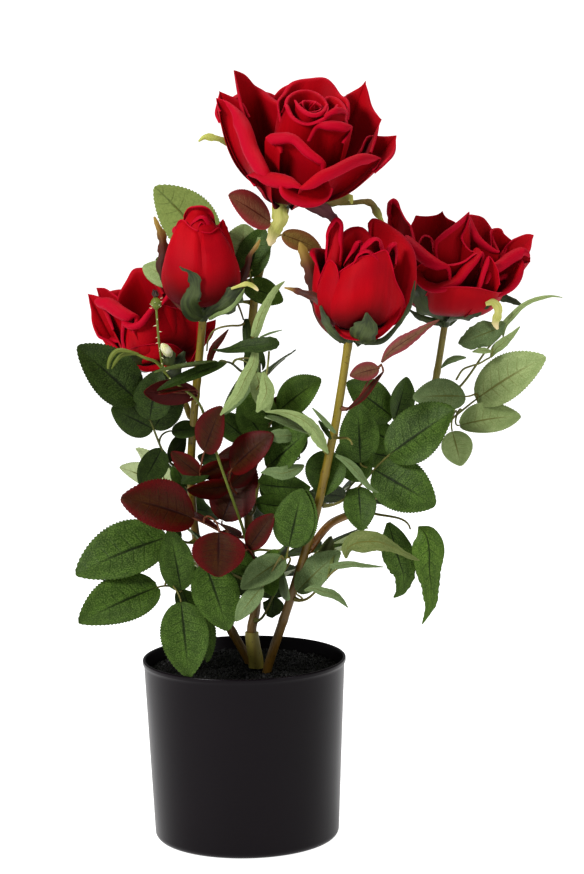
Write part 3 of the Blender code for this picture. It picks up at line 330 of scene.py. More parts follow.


# Each petal has the points of its rim, its belly in mm, its lean outwards in degrees and
# how far its edge rolls over in degrees. The petals behind and the tight curl of a heart
# follow the two rules above.
#
# The points in this table and in those of the sepals, canes, sprays, fillers, curled
# leaves and twigs were marked on the photo, each with a guessed depth. A scratch script
# turned most of them into millimetres of the bush's own frame, rounded; some were then
# moved by hand.
BLOOMS = (
    Bloom("top", "cane_top", (0.08, -0.44, 0.89), (
        # back left, pointed
        Petal(((-30, 6, 50, 1), (-34, 19, 58, 1), (-37, 29, 65, 0.6), (-40, 37, 72, 0),
               (-31, 43, 66, 2), (-23, 43, 57, 2.5), (-15, 34, 54, 2.5), (-7, 23, 55, 2),
               (-3, 10, 56, 2), (-3, -5, 52, 1)), 24, 14, 200),
        # left, behind the long roll
        Petal(((-47, 10, 47, 1), (-50, 18, 50, 1), (-49, 25, 55, 1), (-49, 29, 60, 0),
               (-42, 28, 57, 1), (-35, 24, 55, 1), (-29, 14, 49, 1)), 26, 20, 200),
        # left, long rolled rim
        Petal(((-49, 9, 55, 1), (-51, 15, 62, 0), (-44, 12, 62, 1), (-37, 5, 62, 2.5),
               (-31, -2, 61, 5), (-27, -13, 58, 5.2), (-23, -25, 52, 5.2), (-18, -36, 48, 5),
               (-14, -47, 44, 3.5), (-13, -51, 39, 1)), 30, 10, 230),
        # right, pointed
        Petal(((47, -9, 40, 1), (53, 6, 44, 1), (62, 6, 45, 1.2), (70, 3, 48, 0),
               (68, -10, 44, 1), (62, -24, 43, 1), (54, -37, 42, 1)), 26, 30, 200),
        # back right, pointed
        Petal(((39, 11, 47, 1), (37, 24, 52, 1), (37, 38, 56, 1.2), (41, 41, 59, 2),
               (46, 42, 63, 1.5), (49, 42, 67, 0), (51, 32, 60, 1.2), (54, 25, 55, 1.2),
               (60, 15, 53, 0), (56, 2, 49, 1), (52, -16, 45, 1)), 24, 18, 200),
        # front right, long roll
        Petal(((5, -66, 43, 1), (9, -64, 47, 3), (17, -60, 53, 3.8), (27, -55, 56, 3.8),
               (37, -47, 58, 3.8), (45, -39, 57, 3.6), (52, -32, 53, 3), (59, -28, 47, 0),
               (54, -36, 41, 1)), 34, 40, 220),
        # low left front
        Petal(((-24, -41, 28, 1), (-29, -36, 33, 0), (-23, -43, 41, 3), (-16, -49, 44, 4.4),
               (-7, -55, 46, 4.4), (1, -60, 46, 3), (7, -64, 43, 1)), 34, 70, 230),
        # low front, curled under
        Petal(((-6, -58, 41, 1), (-5, -62, 38, 2), (2, -63, 34, 3), (11, -62, 31, 3),
               (19, -60, 31, 2.5), (25, -58, 34, 1), (26, -57, 39, 1)), 34, 120, 170),
        # centre front, tube
        Petal(((-8, -36, 51, 1), (-12, -31, 55, 3), (-19, -26, 57, 3.7), (-15, -26, 61, 3.7),
               (-9, -29, 64, 3.7), (-3, -32, 66, 3.5), (3, -35, 65, 3), (12, -42, 60, 3),
               (22, -48, 53, 2), (21, -52, 45, 1)), 26, 8, 240),
        # right of the centre
        Petal(((9, -26, 56, 1), (14, -22, 66, 1.5), (20, -22, 70, 3), (27, -22, 71, 3.2),
               (34, -21, 69, 3), (39, -19, 64, 1), (34, -26, 55, 1)), 24, 4, 240),
        # back of the heart
        Petal(((-7, 0, 55, 1), (-9, 15, 62, 1), (-5, 22, 64, 1.5), (0, 30, 68, 2),
               (6, 34, 69, 2), (11, 34, 70, 2), (21, 34, 71, 2), (25, 31, 69, 2),
               (30, 24, 65, 2), (35, 17, 65, 1.5), (36, 1, 59, 1)), 22, -6, 180),
        # heart, left front
        Petal(((-7, 0, 62, 1), (-4, -3, 70, 1.5), (1, -14, 67, 1.5), (9, -19, 66, 1.5),
               (17, -20, 70, 1.5), (23, -15, 72, 1.5), (28, -3, 72, 1)), 18, -14, 160),
        # heart, lit inner
        Petal(((-5, -1, 66, 1), (-2, 9, 69, 1.4), (5, 16, 70, 1.6), (12, 18, 69, 1.6),
               (18, 13, 68, 1.4), (22, 3, 66, 1), (20, -7, 65, 1)), 15, -10, 170),
        # heart, lip
        Petal(((1, -4, 74, 1), (6, -12, 73, 1.6), (12, -16, 72, 1.8), (17, -15, 73, 1.6),
               (21, -7, 74, 1)), 14, -6, 180),
        # heart, right lip
        Petal(((18, -20, 69, 1), (21, -19, 74, 1.4), (25, -17, 77, 2), (31, -11, 74, 1.6),
               (35, -6, 67, 1)), 18, 4, 220),
        # heart, back right
        Petal(((19, 13, 63, 1), (25, 20, 65, 1.6), (30, 15, 65, 1.8), (34, 4, 64, 1.2),
               (34, -9, 62, 1)), 18, -4, 180),
    ) + ring(((35, 60, 44, 32), (75, 62, 52, 34), (118, 60, 46, 32)), 30, 28)
      + spiral(4, 9, 71, (11, 0)), (
        Sepal("light", -90, ((2, -11, 5, 4), (-4, -18, 3, 5.5), (-5, -21, -2, 5),
                             (-4, -23, -7, 5.5), (-7, -25, -13, 4), (-9, -27, -19, 3.6),
                             (-10, -28, -24, 0.8))),
        Sepal("olive", -90, ((3, 2, -4, 3), (-15, 11, -2, 3), (-26, 17, 5, 2),
                             (-32, 20, 11, 1.2), (-35, 23, 17, 1), (-39, 25, 20, 1.2),
                             (-45, 27, 24, 2), (-52, 28, 25, 2.4), (-57, 28, 25, 2),
                             (-61, 27, 22, 0.5))),
        Sepal("olive", -90, ((19, -11, 3, 3), (28, -15, 4, 3), (35, -14, 6, 4),
                             (42, -13, 8, 2.4), (43, -15, 4, 0.6))),
        Sepal("olive", -80, ((32, -10, 1, 1.5), (44, -10, 2, 1.6), (52, -9, 3, 2),
                             (57, -10, 2, 2.4), (61, -13, -3, 2.4), (66, -16, -9, 0.4))),
        Sepal("mauve", -80, ((11, -11, 2, 4), (18, -16, 1, 4.5), (25, -17, -1, 4.5),
                             (30, -19, -4, 3.4), (37, -22, -9, 0.5))),
        Sepal("green", 90, ((11, 4, -5, 5), (13, 19, -11, 6), (14, 33, -13, 5), (16, 45, -12, 1))),
    )),
    Bloom("left_bud", "cane_left_bud", (-0.02, 0.0, 1.0), (
        # back arch
        Petal(((-18, 8, 37, 1), (-13, 7, 49, 1), (-9, 3, 57, 1.2), (-7, 0, 62, 1.6),
               (-4, -3, 66, 2), (-1, -5, 67, 2.4), (2, -5, 67, 2.4), (5, -4, 65, 2.2),
               (7, -3, 61, 1.8), (9, -1, 56, 1.2), (17, 6, 39, 1)), 26, -44, 150),
        # inner swirl
        Petal(((-6, -12, 47, 1), (-6, -11, 55, 1), (-3, -9, 59, 1.6), (1, -8, 61, 2.2),
               (5, -8, 60, 2.4), (8, -9, 57, 2), (9, -11, 52, 1.4), (6, -13, 47, 1)
              ), 20, -34, 190),
        # core
        Petal(((-3, -14, 47, 1), (-1, -12, 54, 1.2), (1, -11, 57, 1.4), (4, -11, 56, 1.2),
               (5, -13, 49, 1)), 16, -30, 170),
        # front
        Petal(((-22, -2, 36, 1), (-18, -4, 45, 1), (-13, -7, 58, 1), (-10, -9, 59, 1),
               (-6, -12, 55, 1), (-1, -15, 52, 1.1), (1, -13, 51, 1), (3, -16, 51, 1.1),
               (7, -14, 50, 1.2), (10, -12, 52, 1.4), (13, -8, 53, 1), (17, -6, 47, 1),
               (21, -3, 37, 1)), 30, -42, 120),
        # right lip
        Petal(((9, -6, 42, 1), (12, -5, 51, 1), (13, -3, 55, 1), (16, 0, 58, 0), (16, 1, 56, 1),
               (16, 3, 50, 1), (20, 4, 38, 1)), 26, -26, 150),
        # left, behind
        Petal(((-24, 6, 26, 1), (-22, 7, 39, 1), (-17, 8, 47, 1), (-13, 8, 54, 1)), 28, -30, 120),
    ) + ring(((95, 12, 54, 64), (25, 12, 52, 60), (155, 12, 52, 60)), 27, -42)
      + spiral(3, 6, 60, (2, 2)), (
        Sepal("green", -95, ((0, -4, -7, 4), (-5, -14, -2, 7.5), (-7, -22, 6, 6.5),
                             (-4, -27, 14, 4.2), (-4, -30, 21, 3.8), (-6, -31, 25, 2),
                             (-8, -32, 27, 0.9), (-11, -32, 28, 0.8), (-13, -32, 30, 0.4))),
        Sepal("green", -70, ((2, -4, -7, 4), (10, -14, -1, 5.5), (17, -18, 3, 7),
                             (22, -19, 8, 6.5), (27, -19, 13, 3.5))),
        Sepal("pale", -80, ((4, -8, -8, 0.9), (10, -18, -4, 1.3), (17, -23, -1, 1.3),
                            (22, -24, 3, 1.3), (26, -23, 8, 1.1), (29, -20, 13, 0.4))),
        Sepal("light", -80, ((20, -20, 13, 0.7), (26, -21, 15, 1.1), (31, -21, 16, 1.7),
                             (35, -20, 14, 1.6), (38, -20, 11, 0.4))),
        Sepal("brown", -90, ((-4, 8, -6, 3), (-12, 14, -1, 4), (-21, 14, 9, 3.5),
                             (-25, 12, 19, 3), (-27, 10, 27, 3.4), (-25, 8, 35, 4),
                             (-25, 6, 43, 3), (-26, 4, 50, 2.6), (-28, 3, 55, 1.8),
                             (-30, 3, 61, 0.5))),
        Sepal("brown", -90, ((15, 6, 0, 3), (24, 6, 10, 3.2), (28, 5, 19, 3), (31, 4, 26, 2.3),
                             (33, 4, 33, 1.7), (37, 4, 38, 1.4), (40, 4, 43, 0.5))),
        Sepal("green", 90, ((0, 6, -6, 6), (0, 20, -2, 8), (1, 26, 7, 6), (2, 27, 18, 1))),
    )),
    Bloom("left_bloom", "cane_left_bloom", (-0.30, -0.02, 0.95), (
        # left tip
        Petal(((-21, -8, 14, 1), (-26, -6, 24, 1), (-32, -4, 30, 1), (-33, -2, 39, 1),
               (-31, -1, 47, 1), (-30, 1, 58, 0), (-25, -1, 54, 1), (-18, -7, 47, 1)
              ), 24, 14, 230),
        # long roll
        Petal(((-21, -14, 30, 1), (-23, -9, 43, 1.5), (-25, -5, 53, 2.4), (-19, -10, 54, 3.8),
               (-12, -16, 52, 4.6), (-7, -20, 46, 4.6), (-2, -23, 40, 4), (1, -25, 35, 2.4),
               (-6, -28, 25, 1)), 24, 14, 230),
        # left, pale tip
        Petal(((-25, 9, 46, 1), (-24, 11, 59, 0), (-19, 10, 57, 1), (-15, 8, 52, 1),
               (-11, 3, 47, 1)), 22, 10, 120),
        # arch
        Petal(((-16, 1, 37, 1), (-11, 3, 49, 1), (-6, 5, 54, 1.6), (-1, 7, 58, 2.4),
               (5, 9, 63, 3.4), (10, 9, 62, 3.6), (14, 7, 60, 3), (16, 3, 54, 1.6),
               (19, -5, 42, 1)), 24, -6, 200),
        # front, folded
        Petal(((-18, -12, 13, 2), (-16, -16, 25, 1.6), (-10, -20, 36, 2), (-6, -25, 33, 2.2),
               (-2, -27, 32, 2.4), (5, -26, 36, 2.2), (11, -22, 39, 1.6), (16, -18, 38, 1),
               (22, -14, 33, 1), (28, -10, 29, 1)), 28, -4, 200),
        # right, behind the bud
        Petal(((8, -15, 35, 1), (15, -13, 34, 1), (21, -10, 32, 1), (29, -8, 28, 1),
               (33, -6, 23, 1), (36, -4, 18, 1), (34, -4, 10, 1), (32, -4, 2, 1),
               (27, -6, -4, 1), (22, -8, -9, 1)), 28, -6, 120),
        # far right tip
        Petal(((25, 6, 2, 1), (34, 8, 9, 1), (40, 10, 12, 1), (47, 12, 12, 0), (42, 10, 8, 1),
               (36, 6, 2, 1)), 28, 20, 120),
        # low front
        Petal(((-19, -12, 10, 1), (-14, -18, 15, 1), (-7, -25, 16, 1), (2, -28, 15, 1),
               (10, -29, 13, 1), (17, -26, 9, 1), (21, -18, 1, 1)), 30, 20, 120),
        # low front, hanging
        Petal(((-19, -14, 14, 1), (-18, -20, 8, 1), (-13, -25, 2, 1), (-7, -29, -2, 1),
               (1, -30, -4, 1), (9, -28, -4, 1), (16, -20, -1, 1)), 30, 105, 60),
    ) + ring(((60, 26, 50, 44), (130, 27, 52, 44), (-10, 27, 44, 46)), 27, -4)
      + ring(((170, 22, 25, 40),), 20, 4), (
        Sepal("green", -110, ((-2, -4, -6, 5), (-7, -16, -2, 7), (-11, -24, 5, 6),
                              (-14, -28, 12, 3), (-15, -30, 17, 0.6))),
        Sepal("green", -90, ((2, -20, -6, 4), (8, -27, -2, 5.4), (11, -29, 3, 4.6),
                             (9, -30, 8, 1.6))),
        Sepal("green", -70, ((2, -4, -8, 5), (8, -16, -8, 6), (15, -22, -4, 5), (22, -24, 2, 1))),
        Sepal("green", 80, ((0, 6, -8, 6), (1, 20, -5, 7), (5, 26, 2, 5), (9, 28, 11, 1))),
        Sepal("green", 170, ((-7, 4, -5, 5), (-16, 8, 2, 6), (-22, 10, 11, 4), (-25, 10, 20, 1))),
    )),
    Bloom("right_bud", "cane_right_bud", (0.05, 0.0, 1.0), (
        # low front
        Petal(((-14, -6, 14, 1), (-11, -12, 6, 1), (-9, -15, -1, 1), (-4, -18, -5, 1),
               (2, -20, -6, 1), (11, -20, -6, 1), (18, -18, -5, 1), (25, -15, 0, 1),
               (31, -11, 7, 1), (34, -6, 15, 1)), 30, 100, 60),
        # front of the egg
        Petal(((-14, -2, 15, 1), (-13, -10, 27, 1), (-8, -16, 38, 1), (-2, -21, 43, 1),
               (5, -23, 49, 1), (12, -25, 51, 1), (21, -22, 54, 1), (25, -20, 46, 1),
               (28, -16, 35, 1), (34, -8, 23, 1), (36, 0, 15, 1)), 30, -24, 120),
        # left, low
        Petal(((-19, 2, 15, 1), (-22, 0, 25, 1), (-20, -3, 34, 1), (-15, -8, 45, 1),
               (-10, -14, 42, 1), (-8, -18, 32, 1), (-10, -16, 19, 1)), 26, -14, 120),
        # left, upright
        Petal(((-13, 0, 34, 1), (-16, 0, 47, 1.5), (-16, -1, 58, 2), (-15, -2, 68, 2.2),
               (-11, -3, 73, 2), (-7, -4, 70, 1.5), (-6, -5, 58, 1.5), (-7, -6, 44, 1)
              ), 22, -8, 200),
        # back left arch
        Petal(((-9, -4, 46, 1), (-7, -2, 57, 2), (-3, 2, 63, 3.2), (1, 4, 66, 3.6),
               (6, 4, 66, 3.6), (10, 3, 62, 2.6), (13, 0, 55, 1)), 22, -10, 180),
        # centre ruffle
        Petal(((3, -21, 45, 1), (4, -21, 55, 2.6), (8, -18, 60, 3.6), (13, -16, 62, 3.6),
               (18, -15, 60, 3.6), (21, -16, 55, 2.4), (22, -20, 47, 1)), 18, -10, 150),
        # centre fold
        Petal(((0, -21, 43, 1), (3, -22, 51, 2), (7, -22, 54, 3), (12, -21, 53, 3),
               (16, -22, 50, 2), (18, -22, 45, 1)), 18, -10, 150),
        # inner left fold
        Petal(((-6, -12, 42, 1), (-2, -12, 52, 2), (1, -8, 58, 2.6), (6, -7, 58, 2.6),
               (9, -10, 51, 1)), 16, -6, 150),
        # inner right fold
        Petal(((20, -16, 46, 1), (22, -8, 55, 2), (25, -4, 58, 2.6), (29, -2, 57, 2.2),
               (30, -6, 52, 1.4), (29, -14, 44, 1)), 18, -4, 150),
        # right, long roll
        Petal(((11, 4, 54, 1), (12, 8, 65, 1), (13, 10, 72, 2), (21, 10, 70, 3.8),
               (27, 9, 66, 4.4), (33, 6, 61, 4.6), (39, 2, 53, 4.4), (42, 0, 44, 3.4),
               (43, 0, 32, 2.4), (40, 0, 16, 1)), 28, 6, 230),
    ) + ring(((100, 26, 56, 44), (60, 28, 50, 40), (145, 25, 50, 40)), 27, -6)
      + spiral(4, 9, 57, (9, -6)), (
        Sepal("green", -90, ((6, -14, -9, 4), (7, -22, -5, 9), (9, -26, 0, 8.5),
                             (11, -27, 6, 5.5), (10, -27, 13, 0.6))),
        Sepal("green", -105, ((-2, -12, -8, 2), (-8, -17, -5, 2.3), (-13, -18, 0, 2.6),
                              (-17, -16, 7, 2.4), (-20, -11, 15, 0.6))),
        Sepal("brown", -90, ((-18, -8, 14, 1.5), (-24, -5, 20, 3), (-31, -3, 22, 2.4),
                             (-38, -1, 24, 1.6), (-44, 0, 25, 0.4))),
        Sepal("brown", -90, ((-3, 2, -8, 4), (-16, 6, 4, 5), (-22, 8, 17, 4.5),
                             (-25, 8, 29, 4.5), (-28, 8, 39, 4.5), (-32, 8, 48, 3.5),
                             (-35, 8, 55, 0.5))),
        Sepal("green", -75, ((10, -4, -9, 2), (22, -8, -7, 1.9), (32, -8, 4, 1.3),
                             (36, -7, 10, 1.3), (39, -6, 16, 1.4), (41, -5, 26, 1),
                             (42, -4, 33, 0.4))),
        Sepal("green", 90, ((2, 6, -9, 6), (4, 20, -5, 8), (5, 26, 4, 6), (6, 27, 15, 1))),
    )),
    Bloom("right_bloom", "cane_right_bloom", (0.10, -0.10, 0.99), (
        # left, hooked finger
        Petal(((-42, 18, 51, 1), (-46, 21, 61, 1.8), (-45, 22, 69, 2.8), (-41, 20, 73, 2.8),
               (-39, 18, 72, 2), (-37, 15, 67, 1), (-33, 10, 61, 1), (-29, 6, 57, 1),
               (-26, -3, 49, 1)), 26, 0, 200),
        # back, flat top
        Petal(((-31, 9, 45, 1), (-29, 16, 55, 1), (-26, 21, 62, 0), (-17, 23, 62, 0.8),
               (-11, 21, 64, 0.8), (-8, 19, 67, 0), (-5, 16, 63, 1), (2, 14, 60, 1), (7, 5, 49, 1)
              ), 24, 6, 90),
        # middle, pointed
        Petal(((-11, -25, 35, 1), (-15, -21, 51, 1.5), (-10, -19, 58, 2.2), (-3, -17, 64, 2.2),
               (3, -14, 69, 1.6), (8, -11, 73, 0), (8, -16, 65, 1), (5, -21, 56, 1),
               (11, -26, 49, 1), (19, -28, 49, 1), (19, -33, 39, 1)), 22, -14, 200),
        # loop, back
        Petal(((8, -3, 48, 1), (10, 5, 67, 1.2), (15, 11, 67, 1.4), (21, 14, 65, 1.6),
               (25, 14, 60, 1.6), (27, 9, 53, 1.2), (32, 0, 45, 1)), 20, -4, 160),
        # loop, rolled front
        Petal(((14, -7, 50, 1), (10, -1, 68, 1), (14, -7, 63, 2.6), (18, -11, 57, 2.6),
               (24, -14, 52, 2), (31, -16, 48, 1)), 20, 0, 230),
        # right, small
        Petal(((28, 2, 44, 1), (27, 9, 55, 1), (29, 12, 59, 1.6), (33, 12, 59, 1.2),
               (35, 11, 56, 1), (41, 11, 52, 0), (36, 4, 47, 1), (34, -2, 40, 1)), 24, 10, 200),
        # right, turned back
        Petal(((34, 0, 41, 1), (37, 4, 48, 1), (43, 7, 54, 1.2), (50, 7, 58, 1.4),
               (55, 5, 58, 0), (53, -1, 51, 1), (50, -8, 44, 1)), 28, 40, 120),
        # right, rolled band
        Petal(((21, -36, 29, 1), (23, -31, 39, 3), (31, -24, 46, 3.8), (38, -18, 51, 4),
               (45, -13, 53, 3.6), (51, -11, 49, 2), (53, -10, 42, 0), (45, -19, 40, 1)
              ), 28, 30, 230),
        # low right, outer
        Petal(((31, -32, 21, 1), (40, -28, 29, 2.4), (45, -23, 36, 2.4), (47, -18, 43, 1),
               (43, -12, 45, 1)), 30, 44, 180),
        # low right, face
        Petal(((17, -42, 24, 1), (18, -39, 36, 2), (20, -36, 44, 2), (22, -34, 48, 1),
               (29, -35, 40, 1), (32, -36, 29, 1)), 30, 20, 120),
        # front, face
        Petal(((-25, -28, 22, 1), (-25, -24, 34, 1), (-16, -30, 40, 1), (-5, -34, 40, 1.4),
               (5, -34, 43, 1.4), (12, -32, 48, 1.2), (19, -27, 49, 1), (21, -33, 36, 1)
              ), 24, 40, 120),
        # front, turned down
        Petal(((-27, -20, 37, 1), (-25, -31, 27, 1), (-15, -40, 24, 2), (-6, -44, 27, 2.4),
               (1, -43, 31, 2.4), (7, -41, 38, 2), (14, -36, 45, 1.4), (18, -31, 50, 1)
              ), 26, 118, 150),
        # bottom
        Petal(((-17, -19, 11, 1), (-15, -34, 21, 1), (-3, -46, 27, 1), (14, -46, 28, 1),
               (31, -36, 24, 1), (38, -20, 23, 1)), 26, 24, 110),
        # left front, rolled band
        Petal(((-29, -25, 33, 1), (-36, -17, 48, 2), (-33, -16, 55, 3.4), (-24, -25, 52, 4.4),
               (-16, -31, 47, 4.4), (-9, -35, 43, 3.6), (-3, -37, 39, 1.5), (-1, -38, 29, 1)
              ), 28, 14, 230),
        # inner left
        Petal(((-25, -17, 34, 1), (-24, -7, 49, 1), (-21, -3, 53, 1.4), (-15, -5, 52, 1.2),
               (-12, -16, 41, 1)), 22, -2, 180),
    ) + ring(((60, 46, 46, 34), (100, 46, 50, 34), (140, 46, 46, 34), (185, 44, 40, 34)), 32, 24)
      + ring(((-6, 38, 34, 34),), 28, 16)
      + spiral(4, 8, 54, (6, 0)), (
        Sepal("green", -120, ((-1, -5, -5, 4), (-9, -16, 1, 6.5), (-17, -23, 8, 8.5),
                              (-20, -26, 15, 7.5), (-23, -28, 21, 4), (-25, -27, 27, 0.4))),
        Sepal("green", -90, ((1, -1, -7, 2.5), (-9, -5, -6, 2.5), (-19, -6, -3, 2),
                             (-26, -6, 1, 0.5))),
        Sepal("green", -70, ((2, -5, -6, 4), (8, -22, 1, 5), (15, -30, 7, 5), (21, -33, 13, 4),
                             (26, -35, 16, 2))),
        Sepal("light", -90, ((23, -37, 16, 2), (28, -37, 17, 2.4), (32, -37, 13, 3),
                             (32, -38, 8, 2.6), (31, -38, 3, 2.8), (33, -39, -1, 0.6))),
        Sepal("green", -80, ((13, -4, 1, 4), (28, 1, 9, 3.2), (36, 3, 13, 2.6), (43, 3, 12, 2.6),
                             (52, 2, 9, 0.4))),
        Sepal("green", 90, ((1, 5, -7, 6), (2, 22, -5, 8), (3, 34, 1, 6), (3, 41, 9, 1))),
    )),
)

# The young shoot's hooked side branch, by route and radii, and its pod from foot to tip.
SHOOT_BRANCHES = (
    (((-48, -38, 328), (-54, -41, 336), (-61, -43, 339), (-67, -44, 342)),
     (1.1, 1.2, 1.1, 1.0)),
    (((-66, -44, 342), (-72, -46, 344), (-78, -47, 345), (-82, -48, 343), (-85, -48, 338),
      (-86, -47, 333)), (0.9, 1.2, 1.6, 1.7, 1.4, 0.9)),
    (((-67, -43, 342), (-72, -42, 342), (-77, -42, 341), (-81, -41, 337), (-84, -40, 332)),
     (0.9, 1.3, 1.4, 1.2, 0.4)),
)
POD = ((-44, -44, 340), (-50, -48, 349))

# Canes from foot to tip. A cane with a parent forks from it at the height `fork`.
LIMBS = (
    Limb("trunk", None, None,
         ((8, 0, 118.3), (6.6, 0, 132), (5.6, 0, 140), (5.6, 0, 143.2)), 11.0, 9.8, "cane_brown"),
    Limb("cane_top", None, None,
         ((5.6, 0, 143.6), (8.8, 2, 165), (5.2, 4, 200), (4.6, 6, 283), (7.5, 6, 331),
          (11.7, 4, 375.6), (19.7, 3, 406.2), (31.8, 2.5, 429.5), (33.7, 0, 436.5)),
         7.0, 5.6, "cane_olive"),
    Limb("cane_left_bud", None, None,
         ((2.3, 12, 118.3), (-9.7, 12, 143.7), (-24.3, 8, 171.6), (-32.1, 0, 215.1),
          (-33.7, -8, 258), (-30.8, -13, 296.4), (-26.5, -17, 334.3), (-23.1, -20, 362.9)),
         6.4, 5.4, "cane_olive"),
    Limb("cane_right_bud", None, None,
         ((16.3, -14, 118.3), (32.2, -22, 169.7), (42.2, -28, 201.8), (52.1, -34, 236.9),
          (60.6, -40, 275), (66.2, -43, 302.3), (74.1, -45, 349.9)), 6.6, 5.6, "cane_olive"),
    Limb("cane_left_bloom", "cane_left_bud", 294,
         ((-37.8, 0, 304), (-46.2, 12, 311), (-53, 21.5, 316), (-54.7, 22, 323.2)),
         4.6, 4.2, "cane_olive"),
    Limb("cane_right_bloom", "cane_right_bud", 205,
         ((60.3, -10, 219.6), (81.3, 8, 227.3), (109.5, 22, 251.1), (127.5, 30, 281),
          (135.5, 32, 313.4), (141.9, 30, 351.7)), 5.6, 4.8, "cane_brown"),
    Limb("young_shoot", "cane_top", 193,
         ((1.1, -20, 218.8), (-10.2, -30, 255.6), (-18.3, -33, 282), (-27.1, -35, 308.1),
          (-46.6, -40, 326.5), (-51.3, -45, 344.6), (-53.6, -48, 384.8)),
         3.0, 2.2, "shoot_green"),
)

# Ways that the upper faces of leaves look, and side leaflets of the leaves behind.
FRONT = (0, -0.75, 0.66)
RIGHT = (0.45, -0.6, 0.66)
BACK = (0, 0.75, 0.66)
TURNED = (0, 0.8, 0.45)
FIVE = ((0.66, 62, 0.8, 0), (0.66, -62, 0.8, 0), (0.34, 68, 0.64, 0), (0.34, -68, 0.64, 0))
THREE = ((0.58, 62, 0.82, 0), (0.58, -62, 0.82, 0))

